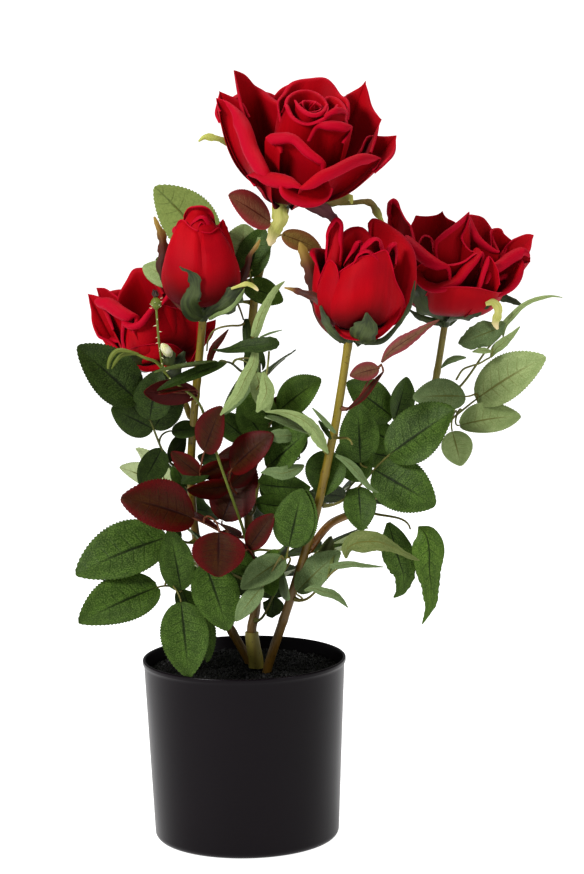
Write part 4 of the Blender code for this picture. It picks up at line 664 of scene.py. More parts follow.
# Compound leaves: the cane and the height they spring from, where the end leaflet
# starts and where its tip is, the way its upper face looks, its roll and its width as
# a share of its length. Each side leaflet has its station on the stalk, its angle
# from it, its length as a share of the end leaflet's, and its roll.
SPRAYS = (
    Spray("left_dark", "cane_left_bud", 259, (-68, -30, 309), (-105, -40, 348), FRONT, 0, 0.66,
          ((0.66, -63, 0.67, 0), (0.66, 40, 0.6, 0), (0.44, 130, 0.52, 0), (0.3, -100, 0.42, 0)),
          "green"),
    Spray("low_left", "cane_left_bud", 172, (-58, -34, 182), (-108, -60, 168), FRONT, 0, 0.62,
          ((0.55, 96, 0.9, 0), (0.57, -74, 0.7, 0)), "green"),
    Spray("low_left_back", "cane_left_bud", 208, (-52, -18, 213), (-111, -40, 199), FRONT, 0,
          0.64, ((0.5, 70, 0.5, 0), (0.5, -60, 0.5, 0)), "green"),
    Spray("mid_hang", "cane_top", 180, (-24, -40, 198), (-9, -62, 160), FRONT, 0, 0.66,
          ((0.8, 80, 1.0, 0), (0.6, -80, 0.7, 0)), "green"),
    Spray("burgundy_mid", "cane_top", 210, (-32, -50, 232), (-75, -65, 252), FRONT, 0, 0.74,
          ((0.56, -84, 0.92, 0), (0.58, 121, 0.66, 0), (0.2, -105, 0.5, 0)), "burgundy"),
    Spray("burgundy_high", "cane_top", 236, (-5, -30, 262), (18, -45, 288), FRONT, 0, 0.66,
          ((0.6, 75, 0.8, 0), (0.6, -70, 0.7, 0)), "burgundy"),
    Spray("burgundy_up", "cane_left_bud", 245, (-23, -30, 275), (-6, -40, 307), FRONT, 0, 0.6,
          ((0.55, 65, 0.7, 0), (0.55, -65, 0.7, 0)), "burgundy"),
    Spray("left_olive", "cane_left_bud", 236, (-56, 20, 244), (-82, 35, 256), TURNED, 0, 0.6,
          ((0.55, 60, 1.3, 0), (0.55, -60, 1.1, 0)), "olive"),
    Spray("collar", "cane_left_bud", 311, (-30, -40, 317), (-52, -60, 320), FRONT, 40, 0.4,
          ((0.5, -40, 1.4, 60),), "burgundy"),
    Spray("centre_green", "cane_top", 323, (-15, -40, 334), (-52, -60, 321), FRONT, 55, 0.5,
          (), "green"),
    Spray("centre_dark", "cane_top", 343, (-11, -30, 342), (28, -60, 353), FRONT, 40, 0.42,
          (), "green"),
    Spray("centre_pale", "cane_top", 333, (10, -20, 348), (32, -35, 392), FRONT, 60, 0.5,
          ((0.6, 160, 1.0, 60), (0.6, 14, 0.75, 60), (0.4, -165, 0.55, 20)), "pale"),
    Spray("top_green", "cane_top", 382, (10, -15, 394), (32, -45, 378), FRONT, 0, 0.72,
          (), "green"),
    Spray("bud_back", "cane_top", 392, (-18, 40, 404), (-52, 50, 449), TURNED, 0, 0.68,
          ((0.3, 50, 0.8, 0), (0.8, 75, 0.7, 0)), "pale"),
    Spray("bud_back_low", "cane_top", 370, (-29, 35, 370), (-62, 45, 396), TURNED, 0, 0.6,
          ((0.5, -60, 0.8, 0),), "pale"),
    Spray("top_burgundy", "cane_top", 412, (22, -20, 427), (-2, -40, 447), FRONT, 0, 0.7,
          (), "burgundy"),
    Spray("top_olive", "cane_top", 413, (32, -20, 418), (58, -32, 420), FRONT, 0, 0.6,
          (), "olive"),
    Spray("right_pale", "cane_right_bloom", 278, (162, 0, 303), (202, -20, 335), RIGHT, 0, 0.6,
          ((0.62, -50, 0.75, 0), (0.60, 100, 0.68, 0), (0.55, -127, 0.45, 0)), "pale"),
    Spray("right_upper", "cane_right_bloom", 302, (181, 15, 346), (218, 0, 372), RIGHT, 65, 0.5,
          ((0.45, -10, 0.8, 0), (0.75, 85, 0.78, 0), (0.45, 150, 0.72, 60)), "pale"),
    Spray("right_burgundy", "cane_right_bud", 304, (95, -62, 335), (134, -70, 364), FRONT, 30,
          0.45, ((0.85, 94, 0.5, 0), (0.8, 165, 0.65, 60)), "burgundy"),
    Spray("right_big", "cane_right_bud", 237, (101, -30, 270), (142, -45, 303), FRONT, 0, 0.72,
          ((0.6, 66, 0.68, 0), (0.75, -75, 0.83, 0), (0.5, -125, 0.55, 0)), "green"),
    Spray("right_mid", "cane_right_bloom", 252, (103, 0, 292), (74, -10, 317), FRONT, 0, 0.74,
          ((0.9, -60, 0.8, 0), (0.5, -70, 0.85, 0), (0.5, 70, 0.9, 0), (0.25, 80, 0.8, 0)),
          "green"),
    Spray("joint_pale", "cane_right_bud", 274, (51, -62, 287), (20, -75, 306), FRONT, 40, 0.45,
          ((0.5, -60, 0.6, 0),), "pale"),
    Spray("joint_down", "cane_right_bud", 285, (75, -65, 282), (87, -78, 239), FRONT, 60, 0.45,
          ((0.6, 60, 0.7, 30),), "pale"),
    Spray("top_mid", "cane_top", 272, (27, -10, 298), (52, -25, 322), FRONT, 0, 0.72,
          ((0.75, 70, 0.9, 0), (0.75, -65, 0.9, 0), (0.4, 72, 0.75, 0), (0.4, -70, 0.75, 0)),
          "green"),
    Spray("centre_grey", "cane_top", 226, (19, -30, 263), (46, -45, 290), FRONT, 0, 0.66,
          ((0.7, 75, 0.95, 0), (0.7, -70, 0.95, 0), (0.4, 80, 0.8, 0), (0.4, -75, 0.8, 0)),
          "pale"),
    Spray("centre_low", "cane_top", 200, (31, -10, 206), (51, -25, 247), FRONT, 0, 0.7,
          ((0.75, 70, 0.9, 0), (0.7, -60, 0.8, 0), (0.4, -75, 0.7, 0)), "green"),
    Spray("low_mid", "cane_top", 152, (29, -25, 184), (60, -45, 210), FRONT, 0, 0.68,
          ((0.75, 70, 0.8, 0), (0.75, -70, 0.9, 0), (0.45, 75, 0.7, 0), (0.45, -75, 0.75, 0)),
          "green"),
    Spray("low_right", "cane_right_bud", 172, (70, -45, 197), (119, -65, 204), FRONT, 50, 0.5,
          ((0.25, -58, 0.67, 0), (0.5, -30, 0.85, 50), (0.6, 75, 0.7, 0)), "pale"),
    Spray("low_pale", "cane_top", 170, (28, -45, 202), (0, -60, 189), FRONT, 0, 0.6,
          ((0.5, 60, 0.9, 0), (0.5, -70, 0.8, 0)), "pale"),
    Spray("right_hang", "cane_right_bloom", 228, (115, -10, 215), (124, -30, 156), FRONT, 20,
          0.5, ((0.55, -61, 0.79, 0), (0.8, 70, 0.5, 0)), "green"),
    Spray("back_low_left", "cane_left_bud", 165, (-34, 52, 182), (-58, 92, 176), BACK, 0, 0.66,
          FIVE, "green"),
    Spray("back_left", "cane_left_bud", 222, (-46, 46, 240), (-66, 84, 258), BACK, 0, 0.66,
          FIVE, "green"),
    Spray("back_foot", "cane_top", 162, (8, 52, 176), (14, 96, 168), BACK, 0, 0.66,
          FIVE, "green"),
    Spray("back_mid", "cane_top", 216, (-4, 50, 236), (-14, 92, 250), BACK, 0, 0.66,
          FIVE, "green"),
    Spray("back_high", "cane_top", 262, (12, 48, 282), (24, 88, 300), BACK, 0, 0.66,
          FIVE, "burgundy"),
    Spray("back_crest", "cane_top", 300, (20, 40, 318), (34, 76, 330), BACK, 0, 0.66,
          THREE, "green"),
    Spray("back_low_right", "cane_right_bud", 186, (60, 30, 198), (86, 72, 192), BACK, 0, 0.66,
          FIVE, "green"),
    Spray("back_right", "cane_right_bloom", 226, (84, 50, 246), (104, 90, 262), BACK, 0, 0.66,
          FIVE, "green"),
    Spray("back_far_right", "cane_right_bloom", 262, (128, 68, 272), (138, 104, 290), BACK, 0,
          0.66, THREE, "pale"),
)

# Leaflets left out of the plain rule, by their place in the spray: FILLERS and CURLED
# stand for most of them.
EVERY = tuple(range(5))
REPLACED = {
    "low_left": (2,), "low_mid": EVERY, "low_right": (0, 1, 2), "centre_dark": (0,),
    "centre_grey": (3,), "centre_low": (0, 1), "centre_pale": EVERY, "joint_down": (0, 1),
    "right_pale": (1, 2, 3), "right_upper": EVERY, "right_burgundy": EVERY,
    "right_hang": EVERY, "bud_back": (2,), "bud_back_low": (1,),
}

# Leaflets between the solids' plain ones: tint, foot, tip, and width over length.
# Some fillers beside the left bud have lighter tints than their own, as painted light where the
# bud shades them.
FILLERS = (
    ("dark", (-60, -30, 296), (-54, -36, 329), 0.74),
    ("dark", (-46, -14, 286), (-27, -18, 288), 0.72),
    ("dark", (-8, -44, 335), (-53, -60, 323), 0.18),
    ("grey", (13, -30, 331), (-11, -40, 300), 0.29),
    ("pale", (12, -34, 327), (20, -38, 301), 0.54),
    ("green", (6, -2, 276), (-17, 4, 296), 0.62),
    ("green", (60, -30, 273), (55, -38, 244), 0.87),
    ("green", (81, -26, 264), (80, -30, 304), 0.65),
    ("burgundy", (-13, -15, 224), (5, -11, 266), 0.70),
    ("burgundy", (-14, -66, 225), (-15, -74, 197), 1.16),
    ("burgundy", (5, -40, 209), (21, -44, 233), 0.57),
    ("green", (32, -42, 210), (44, -48, 249), 0.69),
    ("grey", (37, -30, 177), (64, -36, 206), 0.52),
    ("grey", (14, -56, 186), (-5, -64, 166), 0.45),
    ("green", (-41, -34, 180), (-47, -40, 221), 0.54),
    ("dark", (-21, -20, 260), (-40, -26, 253), 0.64),
    ("green", (-38, -4, 246), (-45, 0, 262), 0.75),
    ("green", (14, -6, 248), (29, -10, 234), 0.75),
    ("dark", (-15, -6, 262), (-29, -2, 268), 0.72),
    ("green", (-41, -44, 174), (-36, -64, 128), 0.62),
    ("pale", (3, -3, 394), (5, -4, 424), 0.97),
    ("green", (7, -6, 389), (17, -7, 422), 0.63),
    ("bright", (4, -6, 383), (31, -10, 375), 0.69),
    ("pale", (-41, 12, 383), (-63, 14, 398), 0.76),
    ("grey", (153, -12, 306), (118, -20, 309), 0.69),
    ("pale", (144, -10, 282), (150, -14, 259), 0.87),
    ("pale", (149, -10, 286), (189, -14, 296), 0.57),
    ("green", (38, -4, 173), (63, -8, 197), 0.52),
    ("green", (32, -42, 210), (41, -48, 250), 0.65),
    ("dark", (40, -18, 269), (31, -22, 289), 0.85),
    ("mauve", (93, -63, 332), (74, -66, 329), 0.73),
)

# Slender curled leaves, from foot to tip: (right, back, up, half width) in mm.
CURLED = (
    Sepal("pale", -80, ((180, 4, 344, 0.3), (180, 3, 348, 1.2), (181, 2, 353, 2.1),
                        (186, 0, 359, 2.2), (192, 0, 365, 1.7), (199, 0, 369, 1.5),
                        (206, 0, 371, 1.3), (213, 0, 372, 0.7), (220, 0, 371, 0.2))),
    Sepal("grey", -90, ((180, 0, 355, 1.3), (175, -4, 351, 6), (169, -8, 349, 8.7),
                        (161, -8, 346, 8), (155, -6, 343, 6), (151, -4, 342, 3.3),
                        (149, -2, 341, 0.5))),
    Sepal("pale", -80, ((171, -2, 331, 0.5), (174, -6, 337, 3.1), (180, -6, 342, 3.2),
                        (185, -4, 346, 2), (191, -2, 352, 0.3))),
    Sepal("pale", -90, ((171, -10, 336, 0.7), (166, -12, 337, 2.1), (162, -12, 337, 1.7),
                        (158, -10, 336, 0.3))),
    Sepal("grey", -90, ((137, -6, 325, 0.4), (142, -10, 330, 2), (148, -10, 332, 2),
                        (154, -8, 332, 0.4))),
    Sepal("mauve", -90, ((95, -62, 336, 0.7), (100, -66, 343, 3.3), (108, -68, 349, 4.7),
                         (116, -68, 354, 3.6), (125, -68, 360, 2), (133, -66, 364, 0.3))),
    Sepal("burgundy", -90, ((96, -64, 330, 0.5), (90, -64, 323, 1.7), (82, -62, 313, 2.1),
                            (71, -60, 304, 0.4))),
    Sepal("dark", -90, ((-16, -34, 343, 0.3), (-8, -40, 343, 1.6), (-1, -46, 345, 3.1),
                        (6, -50, 347, 4.4), (15, -54, 348, 4.9), (22, -56, 349, 4.5),
                        (26, -56, 349, 3.3), (28, -56, 349, 0.9))),
    Sepal("grey", -90, ((15, -46, 352, 0.5), (22, -48, 355, 0.7), (30, -48, 357, 0.2))),
    Sepal("dark", -90, ((6, -20, 362, 1.3), (6, -22, 357, 2.7), (6, -24, 349, 2.7),
                        (7, -24, 340, 2.9), (6, -22, 332, 2.4), (4, -20, 327, 0.4))),
    Sepal("dark", -90, ((14, -22, 341, 2), (16, -24, 336, 2), (17, -22, 330, 1.1),
                        (16, -20, 327, 0.3))),
    Sepal("pale", -95, ((11, -44, 352, 2.4), (13, -44, 358, 3.3), (15, -42, 364, 3.3),
                        (19, -40, 372, 2.9), (23, -38, 379, 2.3), (27, -36, 384, 1.7),
                        (32, -34, 388, 0.3))),
    Sepal("pale", -85, ((12, -44, 343, 2.1), (10, -46, 334, 3.7), (5, -48, 325, 4.3),
                        (0, -50, 315, 4), (-6, -50, 308, 2.7), (-12, -50, 301, 0.5))),
    Sepal("pale", -95, ((17, -46, 329, 0.7), (18, -48, 323, 3.6), (19, -48, 316, 5.2),
                        (16, -48, 309, 4.4), (12, -46, 302, 0.7))),
    Sepal("burgundy", -90, ((-6, -30, 356, 0.3), (-11, -32, 350, 1.9), (-16, -32, 344, 2.4),
                            (-19, -30, 336, 1.9), (-20, -28, 330, 0.5))),
    Sepal("pale", -75, ((18, -66, 305, 0.3), (27, -68, 305, 1.7), (36, -70, 303, 3.1),
                        (44, -72, 299, 4), (50, -72, 293, 4.4), (55, -70, 284, 3.6),
                        (59, -68, 277, 0.5))),
    Sepal("grey", -90, ((49, -66, 307, 0.3), (53, -68, 303, 1.2), (59, -68, 296, 1.7),
                        (64, -66, 290, 0.8))),
    Sepal("dark", -90, ((53, -62, 298, 0.5), (57, -64, 293, 1.9), (61, -66, 286, 0.7))),
    Sepal("bright", -80, ((120, -22, 219, 0.4), (124, -24, 215, 7.3), (126, -26, 210, 10.3),
                          (127, -27, 203, 11.3), (127, -27, 196, 10.3), (127, -26, 188, 8.7),
                          (128, -25, 180, 6.7), (128, -24, 173, 5.7), (128, -23, 166, 4.3),
                          (126, -22, 160, 2.5), (122, -20, 151, 0.3))),
    Sepal("green", -100, ((100, -10, 220, 1.3), (102, -12, 213, 6.7), (104, -14, 205, 10),
                          (106, -15, 198, 11), (108, -15, 191, 9.7), (110, -14, 184, 7.7),
                          (109, -13, 177, 5.3), (107, -12, 172, 3), (103, -11, 168, 0.4))),
    Sepal("moss", -75, ((70, -60, 205, 0.7), (71, -62, 212, 4.3), (77, -64, 216, 7.3),
                        (83, -65, 217, 7.3), (90, -65, 217, 6.3), (96, -64, 215, 5),
                        (102, -62, 212, 3.3), (108, -60, 208, 2), (113, -58, 205, 1.7),
                        (119, -56, 202, 0.3))),
    Sepal("grey", -90, ((59, -56, 199, 1.3), (66, -58, 200, 2.4), (74, -60, 201, 2),
                        (81, -60, 200, 1.5), (88, -58, 199, 0.9), (95, -56, 198, 0.2))),
    Sepal("grey", -80, ((42, -52, 182, 0.7), (48, -54, 184, 2.3), (54, -56, 182, 2.9),
                        (61, -56, 180, 2.8), (66, -54, 176, 2), (71, -52, 170, 0.3))),
    Sepal("grey", -90, ((10, -46, 186, 1.3), (10, -48, 182, 4.3), (6, -50, 177, 5.3),
                        (0, -50, 171, 3.6), (-6, -48, 162, 0.3))),
    Sepal("dark", -90, ((21, -12, 170, 2), (21, -14, 167, 6.4), (20, -14, 162, 6.9),
                        (18, -13, 156, 2))),
    Sepal("grey", -90, ((43, -40, 265, 0.7), (40, -44, 264, 2.9), (34, -46, 262, 4.5),
                        (28, -48, 261, 4.4), (20, -46, 262, 2.9), (14, -44, 261, 0.3))),
    Sepal("grey", -90, ((41, -34, 284, 1.3), (35, -38, 285, 4), (29, -40, 285, 4.7),
                        (23, -40, 285, 4.3), (19, -38, 284, 1.3))),
    Sepal("grey", -90, ((64, -64, 275, 0.9), (71, -66, 271, 2.4), (77, -66, 265, 3.1),
                        (82, -64, 258, 2.4), (87, -62, 252, 1.3), (92, -60, 249, 0.3))),
)

# Bare twigs, by tint and route.
TWIGS = (
    ("pale", ((148, 8, 315), (152, 4, 322), (157, 0, 325), (163, -2, 327), (168, -3, 330),
              (171, -4, 332), (172, -8, 338))),
    ("pale", ((171, -4, 332), (175, -2, 338), (180, 4, 344))),
    ("pale", ((21, -40, 342), (20, -44, 333), (18, -46, 325), (13, -40, 318), (10, -26, 311))),
    ("grey", ((6, -18, 360), (2, -24, 358), (-5, -26, 358), (-12, -28, 357), (-17, -28, 354),
              (-20, -26, 348), (-21, -22, 341))),
    ("grey", ((0, -12, 372), (2, -14, 367), (4, -18, 361))),
    ("burgundy", ((96, -64, 330), (95, -63, 334), (92, -63, 332))),
)

# Centrelines by limb and frames by bloom, filled in as they are made.
CANES = {}
FLOWERS = {}


# ---------------------------------------------------------------- curves and meshes


def metres(point):
    """A point of a table as a vector in metres."""
    return Vector(point) * MM


def smooth_route(points, spacing):
    """Points about `spacing` apart on a Catmull-Rom curve through the given points."""
    ends = [2 * points[0] - points[1]] + list(points) + [2 * points[-1] - points[-2]]
    route = []
    for a, b, c, d in zip(ends, ends[1:], ends[2:], ends[3:]):
        steps = max(1, round((c - b).length / spacing))
        for step in range(steps):
            t = step / steps
            route.append(0.5 * (2 * b + (c - a) * t + (2 * a - 5 * b + 4 * c - d) * t * t
                                + (3 * b - a - 3 * c + d) * t ** 3))
    route.append(points[-1])
    return route


def bezier(points, t):
    """The place at a share of the curve with these four handles."""
    a, b, c, d = points
    return a * (1 - t) ** 3 + b * 3 * t * (1 - t) ** 2 + c * 3 * t * t * (1 - t) + d * t ** 3


def axes(forward, face):
    """Rotation whose X is forward and whose Z is the part of `face` square to it."""
    x = forward.normalized()
    z = (face - x * face.dot(x)).normalized()
    y = z.cross(x)
    return Matrix((x, y, z)).transposed()


def turned(angle, axis, vector):
    """The vector turned by an angle in radians about an axis."""
    return Matrix.Rotation(angle, 3, axis) @ vector


def around(axis, angle):
    """A direction square to the axis, at an angle in radians."""
    return turned(angle, axis, axis.orthogonal().normalized())


def straight(foot, tip, count):
    """Evenly spaced points from foot to tip."""
    return [foot.lerp(tip, step / (count - 1)) for step in range(count)]


def point_on(route, share):
    """Point and direction at a share of the route's steps."""
    place = min(share * (len(route) - 1), len(route) - 1.001)
    index = int(place)
    return route[index].lerp(route[index + 1], place - index), route[index + 1] - route[index]


def tapered(radii, count):
    """Radii in metres, at `count` even steps from the first one in mm to the second."""
    return np.linspace(*radii, count) * MM


class Soup:
    """Vertices, faces and face-corner UVs that gather into one mesh."""

    def __init__(self):
        self.points = []
        self.faces = []
        self.corners = []
        self.count = 0

    def add(self, points, faces, corners):
        """Faces as indices into `points`, and the UVs of each face's corners."""
        self.points.append(np.asarray(points, dtype=float).reshape(-1, 3))
        self.faces += [tuple(int(i) + self.count for i in face) for face in faces]
        self.corners += [tuple(map(tuple, corner)) for corner in corners]
        self.count += len(self.points[-1])

    def skin(self, rings, v):
        """A closed skin over a row of rings, with V at each ring and a cap at both ends."""
        rows, sides = rings.shape[:2]
        index = np.arange(rows * sides).reshape(rows, sides)
        u = np.linspace(0, 1, sides + 1)
        faces = []
        corners = []
        for i in range(rows - 1):
            for j in range(sides):
                k = (j + 1) % sides
                faces.append((index[i, j], index[i, k], index[i + 1, k], index[i + 1, j]))
                corners.append(((u[j], v[i]), (u[j + 1], v[i]),
                                (u[j + 1], v[i + 1]), (u[j], v[i + 1])))
        for cap, end in ((index[0][::-1], 0.0), (index[-1], 1.0)):
            faces.append(cap)
            corners.append([(0.5, end)] * sides)
        self.add(rings, faces, corners)

    def sheet(self, points, thickness):
        """A thin closed sheet round a grid of points. The side that the grid's normals
        point to has the lower half of U, and the other side has the upper half."""
        rows, columns = points.shape[:2]
        along = np.gradient(points, axis=0)
        across = np.gradient(points, axis=1)
        normal = np.cross(across, along)
        normal /= np.maximum(np.linalg.norm(normal, axis=2, keepdims=True), 1e-12)
        half = normal * (thickness / 2)
        both = np.concatenate([(points + half).reshape(-1, 3), (points - half).reshape(-1, 3)])
        front = np.arange(rows * columns).reshape(rows, columns)
        back = front + rows * columns
        u = np.linspace(0, 1, columns)
        v = np.linspace(0, 1, rows)
        faces = []
        corners = []
        for i in range(rows - 1):
            for j in range(columns - 1):
                quad = ((i, j), (i, j + 1), (i + 1, j + 1), (i + 1, j))
                for side, start, order in ((front, 0.0, 1), (back, 0.5, -1)):
                    faces.append([side[place] for place in quad[::order]])
                    corners.append([(start + u[b] * 0.5, v[a]) for a, b in quad[::order]])
        rim = ([(0, j) for j in range(columns)] + [(i, columns - 1) for i in range(1, rows)]
               + [(rows - 1, j) for j in range(columns - 2, -1, -1)]
               + [(i, 0) for i in range(rows - 2, 0, -1)])
        for a, b in zip(rim, rim[1:] + rim[:1]):
            faces.append([front[b], front[a], back[a], back[b]])
            corners.append([(u[j] * 0.5, v[i]) for i, j in (b, a, a, b)])
        self.add(both, faces, corners)

    def tube(self, route, radii, sides, relief=None):
        """A closed tube along the route; `relief` scales a radius by station and angle."""
        points = [Vector(point) for point in route]
        last = len(points) - 1
        side = (points[1] - points[0]).orthogonal().normalized()
        rings = np.empty((last + 1, sides, 3))
        for i, point in enumerate(points):
            along = (points[min(i + 1, last)] - points[max(i - 1, 0)]).normalized()
            side = (side - along * side.dot(along)).normalized()
            other = along.cross(side)
            for j in range(sides):
                turn = 2 * math.pi * j / sides
                radius = radii[i] * (relief(i, turn) if relief else 1.0)
                rings[i, j] = point + (side * math.cos(turn) + other * math.sin(turn)) * radius
        self.skin(rings, np.linspace(0, 1, last + 1))

    def piece(self, name, material, slot, nodes, smooth=True):
        """The gathered mesh as a piece of the bush that stands for these nodes."""
        mesh = bpy.data.meshes.new(name)
        mesh.from_pydata(np.concatenate(self.points).tolist(), [], self.faces)
        layer = mesh.uv_layers.new(name="OFBake")
        flat = [value for corner in self.corners for uv in corner for value in uv]
        layer.data.foreach_set("uv", flat)
        if smooth:
            mesh.shade_smooth()
            mesh.set_sharp_from_angle(angle=math.radians(50))
        mesh.materials.append(material)
        item = bpy.data.objects.new(name, mesh)
        bpy.context.scene.collection.objects.link(item)
        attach(item, "root")
        if nodes:
            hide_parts(*nodes)


# ------------------------------------------------------------------------ materials


class Paint:
    """A material's node tree, with short calls for its nodes."""

    def __init__(self, name, **sockets):
        self.material = bpy.data.materials.new(name)
        self.material.use_nodes = True
        self.tree = self.material.node_tree
        self.shader = self.tree.nodes["Principled BSDF"]
        for socket, value in sockets.items():
            self.shader.inputs[socket.replace("_", " ")].default_value = value

    def node(self, kind, inputs=(), **settings):
        made = self.tree.nodes.new(kind)
        for key, value in settings.items():
            setattr(made, key, value)
        for key, value in dict(inputs).items():
            self.put(made.inputs[key], value)
        return made

    def put(self, socket, value):
        if isinstance(value, bpy.types.NodeSocket):
            self.tree.links.new(value, socket)
        else:
            socket.default_value = value

    def math(self, operation, *values):
        return self.node("ShaderNodeMath", enumerate(values), operation=operation).outputs[0]

    def plus(self, a, b):
        return self.math("ADD", a, b)

    def minus(self, a, b):
        return self.math("SUBTRACT", a, b)

    def times(self, a, b):
        return self.math("MULTIPLY", a, b)

    def uv(self):
        return self.node("ShaderNodeUVMap", uv_map="OFBake").outputs[0]

    def place(self):
        return self.node("ShaderNodeTexCoord").outputs["Object"]

    def part(self, vector, axis):
        return self.node("ShaderNodeSeparateXYZ", {"Vector": vector}).outputs[axis]

    def band(self, value, low, high):
        """0 at `low`, 1 at `high`, smooth between."""
        made = self.node("ShaderNodeMapRange",
                         {"Value": value, "From Min": low, "From Max": high},
                         interpolation_type="SMOOTHSTEP")
        return made.outputs["Result"]

    def mix(self, share, a, b):
        made = self.node("ShaderNodeMix", data_type="RGBA")
        self.put(made.inputs["Factor"], share)
        self.put(made.inputs["A"], a)
        self.put(made.inputs["B"], b)
        return made.outputs["Result"]

    def layer(self, base, colour, mask, share):
        """The base with a share of the colour laid over it where the mask is 1."""
        return self.mix(self.times(mask, share), base, colour)

    def noise(self, vector, scale, detail, rough=0.5):
        """Clouds from 0 to 1; `scale` is one number, or one for each axis."""
        if isinstance(scale, tuple):
            vector = self.node("ShaderNodeMapping", {"Vector": vector, "Scale": scale}).outputs[0]
            scale = 1.0
        made = self.node("ShaderNodeTexNoise", {"Vector": vector, "Scale": scale,
                                                "Detail": detail, "Roughness": rough})
        return made.outputs["Fac"]

    def bump(self, height, strength, distance):
        made = self.node("ShaderNodeBump", {"Height": height, "Strength": strength,
                                            "Distance": distance})
        self.put(self.shader.inputs["Normal"], made.outputs[0])

    def roughness(self, clouds, smoothest, roughest):
        made = self.node("ShaderNodeMapRange",
                         {"Value": clouds, "To Min": smoothest, "To Max": roughest})
        self.put(self.shader.inputs["Roughness"], made.outputs["Result"])

    def colour(self, value):
        self.put(self.shader.inputs["Base Color"], value)


def rgb(colour):
    """A linear colour from display values out of 255."""
    return (*((part / 255) ** 2.2 for part in colour), 1.0)


def petal_material():
    """Crimson velvet: streaks, painted shade at the foot, a painted highlight on the lip and pale
    edge.
    """
    paint = Paint("petal_velvet", Roughness=0.6, Sheen_Weight=0.14, Sheen_Roughness=0.4,
                  Sheen_Tint=(1.0, 0.25, 0.35, 1.0), Specular_IOR_Level=0.08)
    uv = paint.uv()
    v = paint.part(uv, "Y")
    streaks = paint.noise(uv, (46, 2.4, 1), 4.0, 0.6)
    cloud = paint.noise(uv, (5, 4, 1), 2.0)
    weave = paint.noise(uv, (240, 200, 1), 2.0)
    red = paint.mix(streaks, *map(rgb, PETAL_STREAKS))
    red = paint.mix(paint.band(cloud, 0.3, 0.75), red, rgb(PETAL_CLOUD))
    # Painted shade: darker towards each petal's foot, where the pockets between petals lie.
    red = paint.mix(paint.band(v, 0.48, 0.14), red, rgb(PAINTED_FOOT_SHADE))
    # Painted highlight: a pinker crimson over the rolled lip of each petal.
    red = paint.mix(paint.band(v, 0.72, 0.9), red, rgb(PAINTED_LIP_HIGHLIGHT))
    # Pale cut edge of the cloth, partly a painted highlight where the rim catches the light.
    red = paint.mix(paint.band(v, 0.99, 1.0), red, rgb(PALE_EDGE_AND_HIGHLIGHT))
    paint.colour(red)
    paint.bump(paint.plus(paint.times(streaks, 0.7), weave), 0.25, 0.6 * MM)
    return paint.material


def vein_lines(paint, side, v):
    """1 on the midrib, 0.6 on the side veins, which fade outwards, and 0 between."""
    phase = paint.minus(paint.times(v, VEINS),
                        paint.times(paint.math("POWER", side, 1.3), VEIN_SLANT))
    lateral = paint.band(paint.math("PINGPONG", phase, 0.5), 0.09, 0.01)
    lateral = paint.times(lateral, paint.band(side, 0.85, 0.2))
    return paint.math("MAXIMUM", paint.band(side, 0.07, 0.02), paint.times(lateral, 0.6))


def leaf_material(name, tint):
    """Printed polyester leaf: mottled colour, dark veins, a fine grain, a paler back."""
    upper, deep, rib, edge, back = map(rgb, tint[:5])
    paint = Paint(f"leaf_{name}", Roughness=tint.gloss, Specular_IOR_Level=0.12)
    uv = paint.uv()
    u = paint.part(uv, "X")
    v = paint.part(uv, "Y")
    under = paint.math("GREATER_THAN", u, 0.5)
    # 0 on the midrib and 1 at the edge, on either half of U.
    across = paint.times(paint.math("FRACT", paint.times(u, 2.0)), 2.0)
    side = paint.math("ABSOLUTE", paint.minus(across, 1.0))
    cloud = paint.noise(uv, (9, 5, 1), 4.0, 0.6)
    mottle = paint.noise(uv, (44, 26, 1), 4.0, 0.7)
    grain = paint.noise(uv, (100, 56, 1), 2.0)
    lines = vein_lines(paint, side, v)
    fading = paint.times(lines, paint.band(v, 1.0, 0.4))
    face = paint.layer(upper, deep, paint.band(cloud, 0.34, 0.66), 0.6)
    if tint.edge_share:
        rim = paint.plus(paint.math("POWER", side, 1.4),
                         paint.times(paint.minus(mottle, 0.5), 1.4))
        face = paint.layer(face, edge, paint.band(rim, 0.15, 0.7), tint.edge_share)
    face = paint.layer(face, deep, paint.band(mottle, 0.44, 0.66), 0.55)
    face = paint.layer(face, back, paint.band(grain, 0.5, 0.62), 0.26)
    face = paint.layer(face, deep, paint.band(grain, 0.5, 0.38), 0.6)
    face = paint.layer(face, rib, fading, 0.8)
    face = paint.layer(face, edge, paint.band(side, 0.95, 1.0), 0.4)
    reverse = paint.layer(back, rib, lines, 0.4)
    reverse = paint.layer(reverse, face, paint.band(mottle, 0.35, 0.7), 0.35)
    paint.colour(paint.mix(under, face, reverse))
    height = paint.plus(paint.times(grain, 0.6), paint.times(mottle, 0.6))
    paint.bump(paint.minus(height, paint.times(lines, 0.8)), 0.4, 0.6 * MM)
    return paint.material


def cane_material(name, low, high, streak, spot):
    """Moulded cane: a colour that changes up its length, streaks and small spots."""
    paint = Paint(name, Roughness=0.42, Specular_IOR_Level=0.45)
    place = paint.place()
    height = paint.part(place, "Z")
    grain = paint.noise(place, (260, 260, 22), 4.0, 0.6)
    cloud = paint.noise(place, 38.0, 3.0)
    specks = paint.noise(place, 420.0, 2.0)
    change = paint.plus(height, paint.times(paint.minus(cloud, 0.5), 100 * MM))
    base = paint.mix(paint.band(change, 175 * MM, 315 * MM), rgb(low), rgb(high))
    base = paint.layer(base, rgb(streak), paint.band(grain, 0.45, 0.75), 0.65)
    base = paint.layer(base, rgb(spot), paint.band(specks, 0.62, 0.72), 0.6)
    paint.colour(base)
    paint.bump(paint.plus(grain, paint.times(specks, 0.3)), 0.4, 0.6 * MM)
    return paint.material


